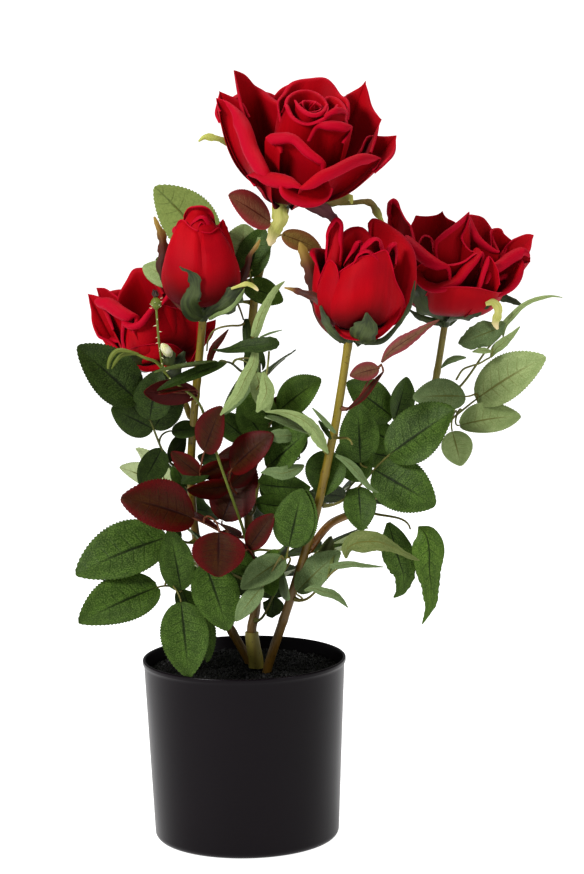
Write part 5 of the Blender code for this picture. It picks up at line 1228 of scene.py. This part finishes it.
def plain_sheet(name, base, other, tip=None):
    """Sepals, stalks and shoot: two clouded colours, and for some a tip along V."""
    paint = Paint(name, Roughness=0.5, Specular_IOR_Level=0.35)
    uv = paint.uv()
    cloud = paint.noise(uv, (14, 3, 1), 4.0, 0.6)
    fine = paint.noise(uv, (90, 60, 1), 2.0)
    face = paint.mix(paint.band(cloud, 0.35, 0.65), rgb(base), rgb(other))
    if tip:
        face = paint.mix(paint.band(paint.part(uv, "Y"), 0.7, 0.98), face, rgb(tip))
    paint.colour(face)
    paint.bump(paint.plus(fine, cloud), 0.3, 0.5 * MM)
    return paint.material


def pot_material():
    """Satin black nursery plastic with faint mould marks."""
    paint = Paint("pot_satin", Specular_IOR_Level=0.16)
    place = paint.place()
    cloud = paint.noise(place, 22.0, 4.0)
    rings = paint.noise(place, (6, 6, 900), 2.0)
    grain = paint.noise(place, 900.0, 2.0)
    paint.colour(paint.mix(cloud, *map(rgb, POT_COLOURS)))
    paint.roughness(cloud, 0.26, 0.40)
    paint.bump(paint.plus(paint.times(rings, 0.6), grain), 0.08, 0.4 * MM)
    return paint.material


def soil_material():
    """Black crumbs with a few glints."""
    paint = Paint("soil_crumbs", Specular_IOR_Level=0.3)
    uv = paint.uv()
    cloud = paint.noise(uv, (60, 60, 1), 3.0)
    paint.colour(paint.mix(paint.band(cloud, 0.35, 0.7), *map(rgb, SOIL_COLOURS)))
    paint.roughness(cloud, 0.3, 0.85)
    paint.bump(paint.noise(uv, (400, 400, 1), 3.0), 0.5, 0.6 * MM)
    return paint.material


# --------------------------------------------------------------------- pot and soil


def wall_radius(height):
    """Outer radius of the pot's wall at a height."""
    return FOOT_RADIUS + (RIM_RADIUS - LIP_DEPTH - FOOT_RADIUS) * height / POT_HEIGHT


def arc(centre, radius, start, end, steps):
    """Points on an arc in the (radius, height) plane; angles in degrees from outward."""
    turns = np.radians(np.linspace(start, end, steps + 1))
    return [(centre[0] + radius * math.cos(t), centre[1] + radius * math.sin(t)) for t in turns]


def lathe(soup, profile, sides):
    """The profile of (radius, height) points turned about the pot's axis."""
    points = np.array(profile)
    turn = np.linspace(0, 2 * math.pi, sides, endpoint=False)
    rings = np.empty((len(points), sides, 3))
    rings[:, :, 0] = points[:, :1] * np.cos(turn)
    rings[:, :, 1] = points[:, :1] * np.sin(turn)
    rings[:, :, 2] = points[:, 1:]
    run = np.concatenate([[0], np.cumsum(np.linalg.norm(np.diff(points, axis=0), axis=1))])
    soup.skin(rings, run / run[-1])


def make_pot():
    """Grooved foot, tapering wall, rolled lip, and the inside down to its floor."""
    lip_foot = POT_HEIGHT - LIP_HEIGHT
    edge = WALL / 2
    profile = [(POT_CENTRE, 0)]
    profile += [(FOOT_RADIUS - FOOT_ROUND - inset * MM, height * MM)
                for inset, height in FOOT_GROOVE]
    profile += arc((wall_radius(FOOT_ROUND) - FOOT_ROUND, FOOT_ROUND), FOOT_ROUND, -90, 0,
                   ARC_STEPS)
    for share in np.linspace(0.08, 0.985, POT_ROWS):
        height = FOOT_ROUND + (lip_foot - LIP_DEPTH - FOOT_ROUND) * share
        profile.append((wall_radius(height), height))
    profile += [(wall_radius(lip_foot) + 0.1 * MM, lip_foot - LIP_DEPTH),
                (RIM_RADIUS - 0.15 * MM, lip_foot - 0.1 * MM),
                (RIM_RADIUS, lip_foot + 0.3 * MM)]
    profile += arc((RIM_RADIUS - edge, POT_HEIGHT - edge), edge, 0, 180, ARC_STEPS)
    profile += [(wall_radius(lip_foot) - WALL, lip_foot),
                (wall_radius(FOOT_ROUND) - WALL, FOOT_ROUND),
                (wall_radius(WALL) - FOOT_ROUND, WALL), (POT_CENTRE, WALL)]
    soup = Soup()
    lathe(soup, profile, POT_SIDES)
    soup.piece("pot_shell", pot_material(), "pot_black", ["pot"])


def soil_height(x, y):
    """Rolling surface of the soil at a point."""
    return SOIL_HEIGHT - SOIL_SINK + SOIL_ROLL * noise.noise(Vector((x, y, 0.3)) * SOIL_WAVES)


def make_soil():
    """A bumpy bed of soil, and loose crumbs on it."""
    rim = wall_radius(SOIL_HEIGHT) - WALL - SOIL_CLEARANCE
    profile = [(POT_CENTRE, SOIL_FLOOR),
               (wall_radius(WALL) - FOOT_ROUND - 0.6 * MM, SOIL_FLOOR),
               (wall_radius(FOOT_ROUND) - WALL - SOIL_CLEARANCE, FOOT_ROUND)]
    radii = np.linspace(1, 0.02, SOIL_RINGS) * rim
    profile += [(radius, SOIL_HEIGHT - 2 * MM) for radius in radii]
    bed = Soup()
    lathe(bed, profile, SOIL_SIDES)
    for point in bed.points[0]:
        if point[2] > SOIL_HEIGHT - 3 * MM:
            point[2] = soil_height(point[0], point[1])
    material = soil_material()
    bed.piece("soil_bed", material, "soil_dark", ["soil"])
    crumbs = Soup()
    dice = random.Random("soil")
    for _ in range(CRUMBS):
        turn = dice.uniform(0, 2 * math.pi)
        radius = math.sqrt(dice.random()) * (rim - 2 * MM)
        x, y = radius * math.cos(turn), radius * math.sin(turn)
        size = dice.uniform(*CRUMB_SIZES) * MM
        add_crumb(crumbs, dice, Vector((x, y, soil_height(x, y) + size * 0.3)), size)
    crumbs.piece("soil_crumbs", material, "soil_dark", ["soil"], smooth=False)


def add_crumb(soup, dice, centre, size):
    """A lumpy eight-sided grain."""
    ways = ((1, 0, 0), (0, 1, 0), (-1, 0, 0), (0, -1, 0), (0, 0, 1), (0, 0, -1))
    top, bottom = 4, 5
    spin = (Matrix.Rotation(dice.uniform(0, TURN), 3, "Z")
            @ Matrix.Rotation(dice.uniform(0, TURN), 3, "X"))
    points = [centre + spin @ Vector(way) * size * dice.uniform(*CRUMB_LUMPS) for way in ways]
    u, v = dice.random(), dice.random()
    faces = []
    for i in range(4):
        j = (i + 1) % 4
        faces += [(i, j, top), (j, i, bottom)]
    corner = [(u + k * 0.004, v + k * 0.003) for k in range(3)]
    soup.add(points, faces, [corner] * len(faces))


# --------------------------------------------------------------------------- canes


class Cane:
    """A limb's centreline by the source's rule, for forks, stalks and bark."""

    def __init__(self, limb):
        self.root_radius = limb.root_diameter / 2 * MM
        self.tip_radius = limb.tip_diameter / 2 * MM
        points = [metres(point) for point in limb.route]
        if limb.parent:
            foot, away = CANES[limb.parent].seat(limb.fork * MM, points[0])
            points = [foot, foot + away * self.root_radius] + points
        else:
            points.insert(1, points[0] + Vector((0, 0, self.root_radius)))
        self.points = points
        self.route = smooth_route(points, CANE_SPACING)

    def seat(self, height, target):
        """A point just off the surface at `height` on the target's side, and the way out."""
        last = len(self.route) - 1
        index = next(i for i, p in enumerate(self.route) if p.z >= height or i == last)
        low = self.route[index - 1]
        high = self.route[index]
        centre = low.lerp(high, (height - low.z) / (high.z - low.z))
        along = (high - low).normalized()
        away = target - centre
        away = (away - along * away.dot(along)).normalized()
        share = index / last
        radius = self.root_radius + (self.tip_radius - self.root_radius) * share
        return centre + away * (radius + FORK_GAP), away


def make_bark(limb, material):
    """The limb's tube with joints, swellings and lengthwise ribs."""
    cane = CANES[limb.name]
    route = smooth_route(cane.points, BARK_SPACING)
    slim = 1.0
    if limb.name == "young_shoot":
        route = route[:round(len(route) * SHOOT_STEM)]
        slim = SHOOT_SLIM
    count = len(route)
    dice = random.Random(limb.name)
    joints = [dice.uniform(0.02, 0.06) + k * dice.uniform(0.9, 1.1) * JOINT_SPACING
              for k in range(JOINTS)]
    length = sum((b - a).length for a, b in zip(route, route[1:]))
    spread = cane.tip_radius - cane.root_radius
    radii = []
    for i in range(count):
        share = i / (count - 1)
        swell = sum(math.exp(-((share * length - joint) / JOINT_LENGTH) ** 2)
                    for joint in joints)
        radii.append((cane.root_radius + spread * share) * slim
                     * (BARK_SLIM + JOINT_SWELL * min(swell, 1.0)))

    def relief(i, turn):
        point = route[i] * BARK_LUMPS + Vector((math.cos(turn), math.sin(turn), 0)) * 1.3
        return (1 + BARK_LUMP * noise.noise(point)
                + RIB_DEPTH * math.sin(RIBS * turn + i * 0.05))

    soup = Soup()
    soup.tube(route, radii, BARK_SIDES, relief)
    soup.piece(f"bark_{limb.name}", material, limb.colour, [limb.name])


# -------------------------------------------------------------------------- leaves


def leaf_width(share):
    """Half width of the solids' plain leaflet at a share of its length, 0 to 1."""
    return math.sin(math.pi * share ** 0.85) ** 0.55 if 0 < share < 1 else 0.0


def blade_width(share):
    """Half width of the fine leaflet: egg-shaped, with a short drawn-out tip."""
    body = math.sin(math.pi * min(share, 0.999) ** 0.86) ** 0.56
    return max(body * (1 - 0.22 * share ** 6) * 1.06, 0.03)


def stalk_route(spray, steps):
    """The stalk's centreline: square off the cane, then easing into the end leaflet."""
    root = metres(spray.root)
    tip = metres(spray.tip)
    foot, away = CANES[spray.limb].seat(spray.height * MM, root)
    reach = (root - foot).length / 3
    handles = (foot, foot + away * reach, root - (tip - root).normalized() * reach, root)
    return [bezier(handles, step / steps) for step in range(steps + 1)]


def spray_leaves(spray):
    """The end leaflet and the side leaflets, before they are moved clear of neighbours."""
    route = stalk_route(spray, TWIG_STEPS)
    root = metres(spray.root)
    tip = metres(spray.tip)
    face = Vector(spray.face)
    forward = (tip - root).normalized()
    length = (tip - root).length
    leaves = [Leaf(root - forward * TERMINAL_SINK, forward,
                   turned(math.radians(spray.roll), forward, face),
                   length + TERMINAL_SINK, spray.aspect * length)]
    for index, (station, angle, size, roll) in enumerate(spray.leaflets):
        dice = random.Random(f"{spray.name}{index}")
        start, along = point_on(route, station)
        up = axes(along, face).col[2]
        angle += dice.uniform(-YAW_SPREAD, YAW_SPREAD)
        roll += dice.uniform(-ROLL_SPREAD, ROLL_SPREAD)
        size *= length * (1 + dice.uniform(-SIZE_SPREAD, SIZE_SPREAD))
        way = turned(math.radians(angle), up, along.normalized())
        top = turned(math.radians(roll), way, up)
        leaves.append(Leaf(start, way, top, size, spray.aspect * size))
    return leaves


def tweaked(leaf, tweak):
    """The leaflet turned sideways and up or down, and scaled."""
    yaw, pitch, scale = tweak
    turn = axes(leaf.forward, leaf.face)
    swing = Matrix.Rotation(math.radians(yaw), 3, turn.col[2])
    nod = Matrix.Rotation(math.radians(-pitch), 3, turn.col[1])
    move = swing @ nod
    return Leaf(leaf.root, move @ leaf.forward, move @ leaf.face,
                leaf.length * scale, leaf.width * scale)


def coarse_points(leaf):
    """Points of the source's plain leaflet: its tip and its widest places."""
    turn = axes(leaf.forward, leaf.face)
    for share, way in ((1.0, 0), (0.5, 1), (0.5, -1)):
        side = way * leaf_width(share) * leaf.width / 2
        rise = abs(side) * LEAF_FOLD - LEAF_DROOP * leaf.length * share ** 2
        yield leaf.root + turn @ Vector((share * leaf.length, side, rise))


def packed_tree(node):
    """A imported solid's triangles, to find the nearest place on it."""
    body = frame["nodes"][node].data
    body.calc_loop_triangles()
    triangles = [tuple(triangle.vertices) for triangle in body.loop_triangles]
    return BVHTree.FromPolygons([vertex.co.copy() for vertex in body.vertices], triangles)


def settle(leaf, tree):
    """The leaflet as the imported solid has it, or None where the solid has none."""
    for tweak in TWEAKS:
        trial = tweaked(leaf, tweak)
        if all(tree.find_nearest(point)[3] < SAME_PLACE for point in coarse_points(trial)):
            return trial
    return None


def blade_grid(leaf, dice):
    """The leaflet's surface: toothed edge, folded midrib, quilted veins, bent tip."""
    rows = 2 * TEETH + 1
    turn = np.array(axes(leaf.forward, leaf.face))
    wave = dice.uniform(-1, 1)
    phase = dice.uniform(0, TURN)
    curl = dice.uniform(-0.05, 0.10)
    twist = dice.uniform(-0.25, 0.25)
    cup = dice.uniform(-0.08, 0.16)
    points = np.empty((rows, len(LEAF_COLUMNS), 3))
    for i in range(rows):
        share = 0.006 + 0.994 * i / (rows - 1)
        half = blade_width(share) * leaf.width / 2
        out, forward = TOOTH_TIP if i % 2 else TOOTH_NOTCH
        for j, across in enumerate(LEAF_COLUMNS):
            size = abs(across)
            reach = across * half
            along = share
            if size == 1.0:
                reach *= out
                along += forward
            along = min(along, 1.0)
            vein = share * VEINS - size * VEIN_SLANT
            quilt = (abs(math.sin(math.pi * vein)) - 0.5) * size ** 0.5 * (1.2 - size)
            rise = abs(reach) * (LEAF_FOLD + cup - 0.25 * size * LEAF_FOLD)
            rise -= (LEAF_DROOP + curl * share) * leaf.length * share ** 2
            rise += quilt * QUILTING * leaf.length
            rise += wave * EDGE_WAVE * leaf.length * size ** 3 * math.sin(5.5 * share + phase)
            rise += twist * reach * (share - 0.35)
            points[i, j] = (along * leaf.length, reach, rise)
    return points @ turn.T + np.array(leaf.root)


class Foliage:
    """Blades and stalks, gathered by tint, and the stalks that twigs may spring from."""

    def __init__(self):
        self.blades = {tint: Soup() for tint in TINTS}
        self.stalks = {tint: Soup() for tint in TINTS}
        self.nodes = {tint: [] for tint in TINTS}
        self.routes = [stalk_route(spray, STALK_STEPS) for spray in SPRAYS]

    def add_leaf(self, tint, leaf, dice):
        """A blade, and the plastic midrib under most of its length."""
        points = blade_grid(leaf, dice)
        self.blades[tint].sheet(points[:, ::-1], LEAF_SHEET)
        middle = points[:, len(LEAF_COLUMNS) // 2]
        under = np.array(axes(leaf.forward, leaf.face).col[2]) * -LEAF_SHEET
        picks = np.linspace(0, int(len(middle) * MIDRIB_SHARE), MIDRIB_STEPS).astype(int)
        self.stalks[tint].tube([middle[i] + under for i in picks],
                               tapered(MIDRIB_RADII, MIDRIB_STEPS), MIDRIB_SIDES)

    def add_twig(self, tint, route):
        """A bare twig along the route."""
        self.stalks[tint].tube(route, tapered(TWIG_RADII, len(route)), STALK_SIDES)

    def add_spray(self, spray, route):
        """A compound leaf on its flared stalk."""
        node = f"spray_{spray.name}"
        tint = SHADES.get(spray.name, spray.tint)
        self.nodes[tint].append(node)
        radii = tapered(STALK_RADII, len(route))
        radii[:2] *= STALK_FLARE
        self.stalks[tint].tube(route, radii, STALK_SIDES)
        tree = packed_tree(node)
        dice = random.Random(f"{spray.name}_looks")
        for index, leaf in enumerate(spray_leaves(spray)):
            leaf = settle(leaf, tree)
            if leaf and index not in REPLACED.get(spray.name, ()):
                self.add_leaf(tint, leaf, dice)

    def add_filler(self, tint, foot, tip, aspect, dice):
        """A single leaflet on a twig from the nearest place on any stalk."""
        root = metres(foot)
        span = metres(tip) - root
        leaf = Leaf(root, span.normalized(), Vector(FRONT), span.length, aspect * span.length)
        self.add_leaf(tint, leaf, dice)
        start = min((point for route in self.routes for point in route),
                    key=lambda point: (point - root).length)
        reach = (root - start).length * 0.4
        handles = (start, start + Vector((0, 0, reach)), root - leaf.forward * reach, root)
        self.add_twig(tint, [bezier(handles, step / 10) for step in range(11)])


def make_sprays():
    """Every compound leaf, filler, curled leaf and bare twig, as pieces by tint."""
    foliage = Foliage()
    for spray, route in zip(SPRAYS, foliage.routes):
        foliage.add_spray(spray, route)
    for index, filler in enumerate(FILLERS):
        foliage.add_filler(*filler, random.Random(f"filler{index}"))
    for index, leaf in enumerate(CURLED):
        ribbon = ribbon_grid(leaf, random.Random(f"curled{index}"), CURLED_TEETH)
        foliage.blades[leaf.tone].sheet(ribbon, LEAF_SHEET)
    for tint, points in TWIGS:
        foliage.add_twig(tint, smooth_route([metres(point) for point in points], 2 * MM))
    for name, tint in TINTS.items():
        nodes = foliage.nodes[name]
        foliage.blades[name].piece(f"leaves_{name}", leaf_material(name, tint), tint.slot, nodes)
        foliage.stalks[name].piece(f"stalks_{name}", plain_sheet(f"stalk_{name}", *tint.stalk),
                                   tint.slot, nodes)


# -------------------------------------------------------------------------- blooms


class Flower:
    """Frame of a bloom: its foot just over the calyx, its axis, and its way right."""

    def __init__(self, bloom):
        cane = CANES[bloom.limb]
        axis = Vector(bloom.axis).normalized()
        right = (Vector((1, 0, 0)) - axis * axis.x).normalized()
        tilt = (cane.route[-1] - cane.route[-2]).angle(axis)
        stand_off = (GAP + CUP_FOOT_RADIUS * math.sin(tilt)) / math.cos(tilt)
        self.turn = np.array(Matrix((right, axis.cross(right), axis)))
        self.foot = np.array(cane.route[-1] + axis * (stand_off + CUP_HEIGHT))

    def place(self, points):
        """World places of (right, back, up) points."""
        return self.foot + points @ self.turn


def rim_curve(rim):
    """A rim's closely spaced places and roll radii; it keeps a corner where the roll is 0."""
    knots = np.array(rim, dtype=float) * MM
    steps = np.linalg.norm(np.diff(knots[:, :3], axis=0), axis=1)
    run = np.concatenate([[0], np.cumsum(np.sqrt(steps))])
    slopes = np.gradient(knots, run, axis=0)
    slopes[knots[:, 3] == 0] = 0
    pieces = []
    for i, step in enumerate(steps):
        t = np.arange(max(2, round(step / RIM_SPACING)))[:, None]
        t = t / len(t)
        span = run[i + 1] - run[i]
        pieces.append(knots[i] * (1 + 2 * t) * (1 - t) ** 2 + slopes[i] * span * t * (1 - t) ** 2
                      + knots[i + 1] * t ** 2 * (3 - 2 * t)
                      + slopes[i + 1] * span * t ** 2 * (t - 1))
    return np.concatenate(pieces + [knots[-1:]])


def unit(vectors):
    """The vectors at length 1."""
    return vectors / np.maximum(np.linalg.norm(vectors, axis=-1, keepdims=True), 1e-9)


def petal_body(petal, origin, out, tangent, edge):
    """Rows of points from the bloom's foot up to the petal's edge, along Bezier curves."""
    belly = petal.belly * MM
    foot = out * PETAL_ROOT
    reach = np.linalg.norm(edge - foot, axis=1, keepdims=True)
    lower = foot + out * belly * np.minimum(reach / reach.max() * 1.3, 1)
    upper = edge - tangent * reach * 0.42
    if petal.lean < 0:
        excess = np.maximum(((upper - origin) * out).sum(axis=1, keepdims=True) - belly, 0)
        upper = upper - out * excess
    return bezier((foot, lower, upper, edge), PETAL_RUN)


def petal_grid(petal, dice):
    """A petal swept from the foot of the bloom to its rim, whose edge is rolled outward."""
    curve = rim_curve(petal.rim)
    place, roll = curve[:, :3], np.maximum(curve[:, 3:], LEAST_ROLL)
    origin = np.array((*petal.origin, 0.0)) * MM
    out = unit((place - origin) * (1, 1, 0))
    lean = math.radians(petal.lean)
    tangent = out * math.sin(lean) + np.array((0, 0, math.cos(lean)))
    outside = out * math.cos(lean) - np.array((0, 0, math.sin(lean)))
    middle = place.mean(axis=0) * PETAL_MIDDLE
    along = unit(np.gradient(place, axis=0))
    inward = unit(unit(place - middle) + tangent)
    normal = unit(np.cross(along, inward))
    if (normal * outside).sum() < 0:
        normal = -normal
    sideways = unit(inward - along * (inward * along).sum(axis=1, keepdims=True))
    edge = place - sideways * roll
    body = petal_body(petal, origin, out, tangent, edge)
    wave = dice.uniform(0, TURN)
    beat = np.linspace(0, len(place) * RIM_SPACING / PLEAT, len(place))
    pleat = np.sin(beat * TURN + wave) + 0.6 * np.sin(beat * 14.5 + wave * 2)
    fold = normal * (PLEAT_DEPTH * pleat[:, None]) * PETAL_RUN ** 2 * (1.1 - PETAL_RUN)
    turns = np.linspace(0, 1, ROLL_ROWS + 1)[1:, None, None] * math.radians(petal.turn)
    turns = turns * np.clip(roll / FULL_ROLL, 0, 1)
    lip = edge + (sideways * np.sin(turns) + normal * (1 - np.cos(turns))) * roll
    return np.concatenate([body + fold, lip])


def make_bloom(bloom, material):
    """The bloom's petals as thin sheets whose U runs the same way round the bloom."""
    flower = FLOWERS[bloom.name]
    soup = Soup()
    dice = random.Random(f"{bloom.name}_petals")
    for petal in bloom.petals:
        grid = flower.place(petal_grid(petal, dice))
        edge = grid[-ROLL_ROWS]
        facing = np.cross(edge[1] - edge[0], edge[0] - grid[0, 0])
        if facing @ (edge.mean(axis=0) - flower.foot) >= 0:
            grid = grid[:, ::-1]
        soup.sheet(grid, PETAL_SHEET)
    soup.piece(f"petals_{bloom.name}", material, "petal_red", [f"bloom_{bloom.name}"])


def ribbon_grid(ribbon, dice, teeth):
    """A sepal or a curled leaflet: a folded, toothed ribbon along its route."""
    curve = rim_curve(ribbon.route)
    place, half = curve[:, :3], curve[:, 3:]
    depth, pace = teeth
    turn = math.radians(ribbon.face)
    face = np.array((math.cos(turn), math.sin(turn), 0.15))
    along = unit(np.gradient(place, axis=0))
    across = unit(np.cross(along, face))
    normal = unit(np.cross(across, along))
    share = np.linspace(0, 1, len(place))[:, None]
    beat = np.sign(np.sin(share * len(place) * pace + dice.uniform(0, 6)))
    toothed = half * (1 + depth * beat * np.clip(share * 3 - 0.9, 0, 1))
    steps = np.linspace(-1, 1, SEPAL_COLUMNS)[None, :, None]
    fold = 0.3 * np.abs(steps) * half[:, None] - 0.2 * MM * np.sin(share * 17)[:, None]
    return place[:, None] + across[:, None] * (steps * toothed[:, None]) - normal[:, None] * fold


def make_calyxes():
    """The cups under the blooms and their sepals, as pieces by tone."""
    soups = {tone: Soup() for tone in SEPAL_TONES}
    for bloom in BLOOMS:
        flower = FLOWERS[bloom.name]
        dice = random.Random(f"{bloom.name}_sepals")
        foot = Vector(flower.place(np.array((0.0, 0.0, -CUP_HEIGHT - COLLAR))))
        top = Vector(flower.place(np.array((0.0, 0.0, 0.6 * MM))))
        route = straight(foot, top, len(CUP_RADII))
        soups["green"].tube(route, np.array(CUP_RADII) * MM, CUP_SIDES)
        for sepal in bloom.sepals:
            grid = flower.place(ribbon_grid(sepal, dice, SEPAL_TEETH))
            soups[sepal.tone].sheet(grid[:, ::-1], SEPAL_SHEET)
    nodes = [f"calyx_{bloom.name}" for bloom in BLOOMS]
    for tone, soup in soups.items():
        soup.piece(f"sepals_{tone}", plain_sheet(*SEPAL_TONES[tone]), "sepal_green", nodes)


# --------------------------------------------------------------------- young shoot


def add_spike(soup, route, radii, sides):
    """A short tube whose radii are in mm."""
    soup.tube(route, np.array(radii) * MM, sides)


def add_thorns(soup, route, dice):
    """Thorns on the upper half of the shoot, which lean down a little."""
    for k in range(THORNS):
        place = int(len(route) * (0.45 + 0.53 * k / THORNS))
        along = (route[place] - route[place - 1]).normalized()
        side = around(along, dice.uniform(0, TURN))
        root = route[place] + side * 0.6 * MM
        thorn = side * dice.uniform(1.6, 2.6) * MM - along * 0.4 * MM
        add_spike(soup, [root, root + thorn * 0.5, root + thorn], THORN_RADII, THORN_SIDES)


def add_prickles(soup, top, rise):
    """Short prickles round the closed bud."""
    for k in range(PRICKLES):
        side = around(rise, k * 1.9)
        root = top + rise * (1 + k % 4 * 2) * MM + side * 3.0 * MM
        add_spike(soup, [root, root + side * 0.9 * MM, root + side * 1.8 * MM + rise * 0.5 * MM],
                  PRICKLE_RADII, THORN_SIDES)


def make_husk(crown, rise, dice):
    """Dry tips that close over the bud."""
    husk = Soup()
    for k in range(HUSKS):
        side = around(rise, k * 1.1)
        reach = dice.uniform(3.6, 6.0) * MM
        add_spike(husk, [crown, crown + side * 1.4 * MM + rise * reach * 0.5,
                         crown + side * 1.0 * MM + rise * reach], HUSK_RADII, HUSK_SIDES)
    husk.piece("shoot_husk", plain_sheet(*HUSK_SKIN), "cane_brown", ["young_shoot"])


def make_shoot_details(skin):
    """The young shoot's thorns, closed bud and husk, its hooked side branch and its pod."""
    green, pale = Soup(), Soup()
    dice = random.Random("thorns")
    route = smooth_route(CANES["young_shoot"].points, 2 * MM)
    route = route[:round(len(route) * SHOOT_STEM)]
    top = route[-1]
    rise = (route[-1] - route[-4]).normalized()
    add_thorns(pale, route, dice)
    green.tube([top + rise * step * BUD_STEP * MM for step in range(len(BUD_RADII))],
               np.array(BUD_RADII) * MM, BUD_SIDES)
    add_prickles(pale, top, rise)
    make_husk(top + rise * HUSK_FOOT * MM, rise, dice)
    for path, widths in SHOOT_BRANCHES:
        points = smooth_route([metres(point) for point in path], 1.5 * MM)
        radii = np.interp(np.linspace(0, 1, len(points)), np.linspace(0, 1, len(widths)), widths)
        green.tube(points, radii * MM, BRANCH_SIDES)
    green.piece("shoot_details", skin, "shoot_green", ["young_shoot"])
    foot, tip = map(metres, POD)
    pale.tube(straight(foot, tip, len(POD_RADII)), np.array(POD_RADII) * MM, BUD_SIDES)
    pale.piece("shoot_pod", plain_sheet(*POD_SKIN), "shoot_green", ["young_shoot"])


# --------------------------------------------------------------------------- stage


def make_floor():
    """A white floor that glows a little, so that it stays white at the far side."""
    mesh = bpy.data.meshes.new("floor")
    corners = ((-1, -1), (1, -1), (1, 1), (-1, 1))
    mesh.from_pydata([(x * FLOOR_REACH, y * FLOOR_REACH, 0) for x, y in corners],
                     [], [(0, 1, 2, 3)])
    paint = Paint("floor_white", Roughness=0.6, Specular_IOR_Level=0.1,
                  Base_Color=(FLOOR_GREY, FLOOR_GREY, FLOOR_GREY, 1.0),
                  Emission_Color=(1.0, 1.0, 1.0, 1.0), Emission_Strength=FLOOR_GLOW)
    mesh.materials.append(paint.material)
    floor = bpy.data.objects.new("floor", mesh)
    floor.location.z = -FLOOR_DROP
    bpy.context.scene.collection.objects.link(floor)


def make_world():
    """Plain white to the camera, and a dimmer white that lights the bush."""
    world = bpy.data.worlds.new("studio")
    world.use_nodes = True
    tree = world.node_tree
    ambient = tree.nodes["Background"]
    backdrop = tree.nodes.new("ShaderNodeBackground")
    for background, strength in ((ambient, WORLD_LIGHT), (backdrop, 1.0)):
        background.inputs["Color"].default_value = (1, 1, 1, 1)
        background.inputs["Strength"].default_value = strength
    rays = tree.nodes.new("ShaderNodeLightPath")
    choose = tree.nodes.new("ShaderNodeMixShader")
    tree.links.new(rays.outputs["Is Camera Ray"], choose.inputs[0])
    tree.links.new(ambient.outputs[0], choose.inputs[1])
    tree.links.new(backdrop.outputs[0], choose.inputs[2])
    tree.links.new(choose.outputs[0], tree.nodes["World Output"].inputs[0])
    bpy.context.scene.world = world


def add_light(name, place, size, power):
    """A rectangular light that looks at the middle of the bush."""
    light = bpy.data.lights.new(name, "AREA")
    light.shape = "RECTANGLE"
    light.size, light.size_y = size
    light.energy = power
    item = bpy.data.objects.new(name, light)
    item.location = place
    way = Vector(LIGHT_TARGET) - Vector(place)
    item.rotation_euler = way.to_track_quat("-Z", "Y").to_euler()
    bpy.context.scene.collection.objects.link(item)


def make_camera():
    """The camera in front of the bush, a little above it."""
    camera = bpy.data.cameras.new("camera")
    camera.sensor_width = SENSOR
    camera.lens = FOCAL_PIXELS / PICTURE_HEIGHT * SENSOR
    item = bpy.data.objects.new("camera", camera)
    item.matrix_world = (Matrix.Translation(CAMERA_PLACE)
                         @ Matrix.Rotation(math.radians(CAMERA_PITCH), 4, "X")
                         @ Matrix.Rotation(math.radians(CAMERA_ROLL), 4, "Z"))
    bpy.context.scene.collection.objects.link(item)
    bpy.context.scene.camera = item


def make_stage():
    """Camera, floor, surround and lights, and the contrast of the picture."""
    make_camera()
    make_floor()
    make_world()
    for light in LIGHTS:
        add_light(*light)
    bpy.context.scene.view_settings.view_transform = "Standard"
    bpy.context.scene.view_settings.look = "Medium High Contrast"


def make_canes(skin):
    """Every limb's centreline and bark; the young shoot has a smooth skin."""
    bark = {key: cane_material(*colours) for key, colours in BARKS.items()}
    bark["shoot_green"] = skin
    for limb in LIMBS:
        CANES[limb.name] = Cane(limb)
        make_bark(limb, bark.get(limb.name, bark[limb.colour]))


def make_blooms():
    """Every bloom's frame and petals, in one velvet."""
    velvet = petal_material()
    for bloom in BLOOMS:
        FLOWERS[bloom.name] = Flower(bloom)
        make_bloom(bloom, velvet)


def build():
    """The stage, then the bush from the pot up."""
    make_stage()
    make_pot()
    make_soil()
    skin = plain_sheet(*SHOOT_SKIN)
    make_canes(skin)
    make_sprays()
    make_blooms()
    make_calyxes()
    make_shoot_details(skin)


build()
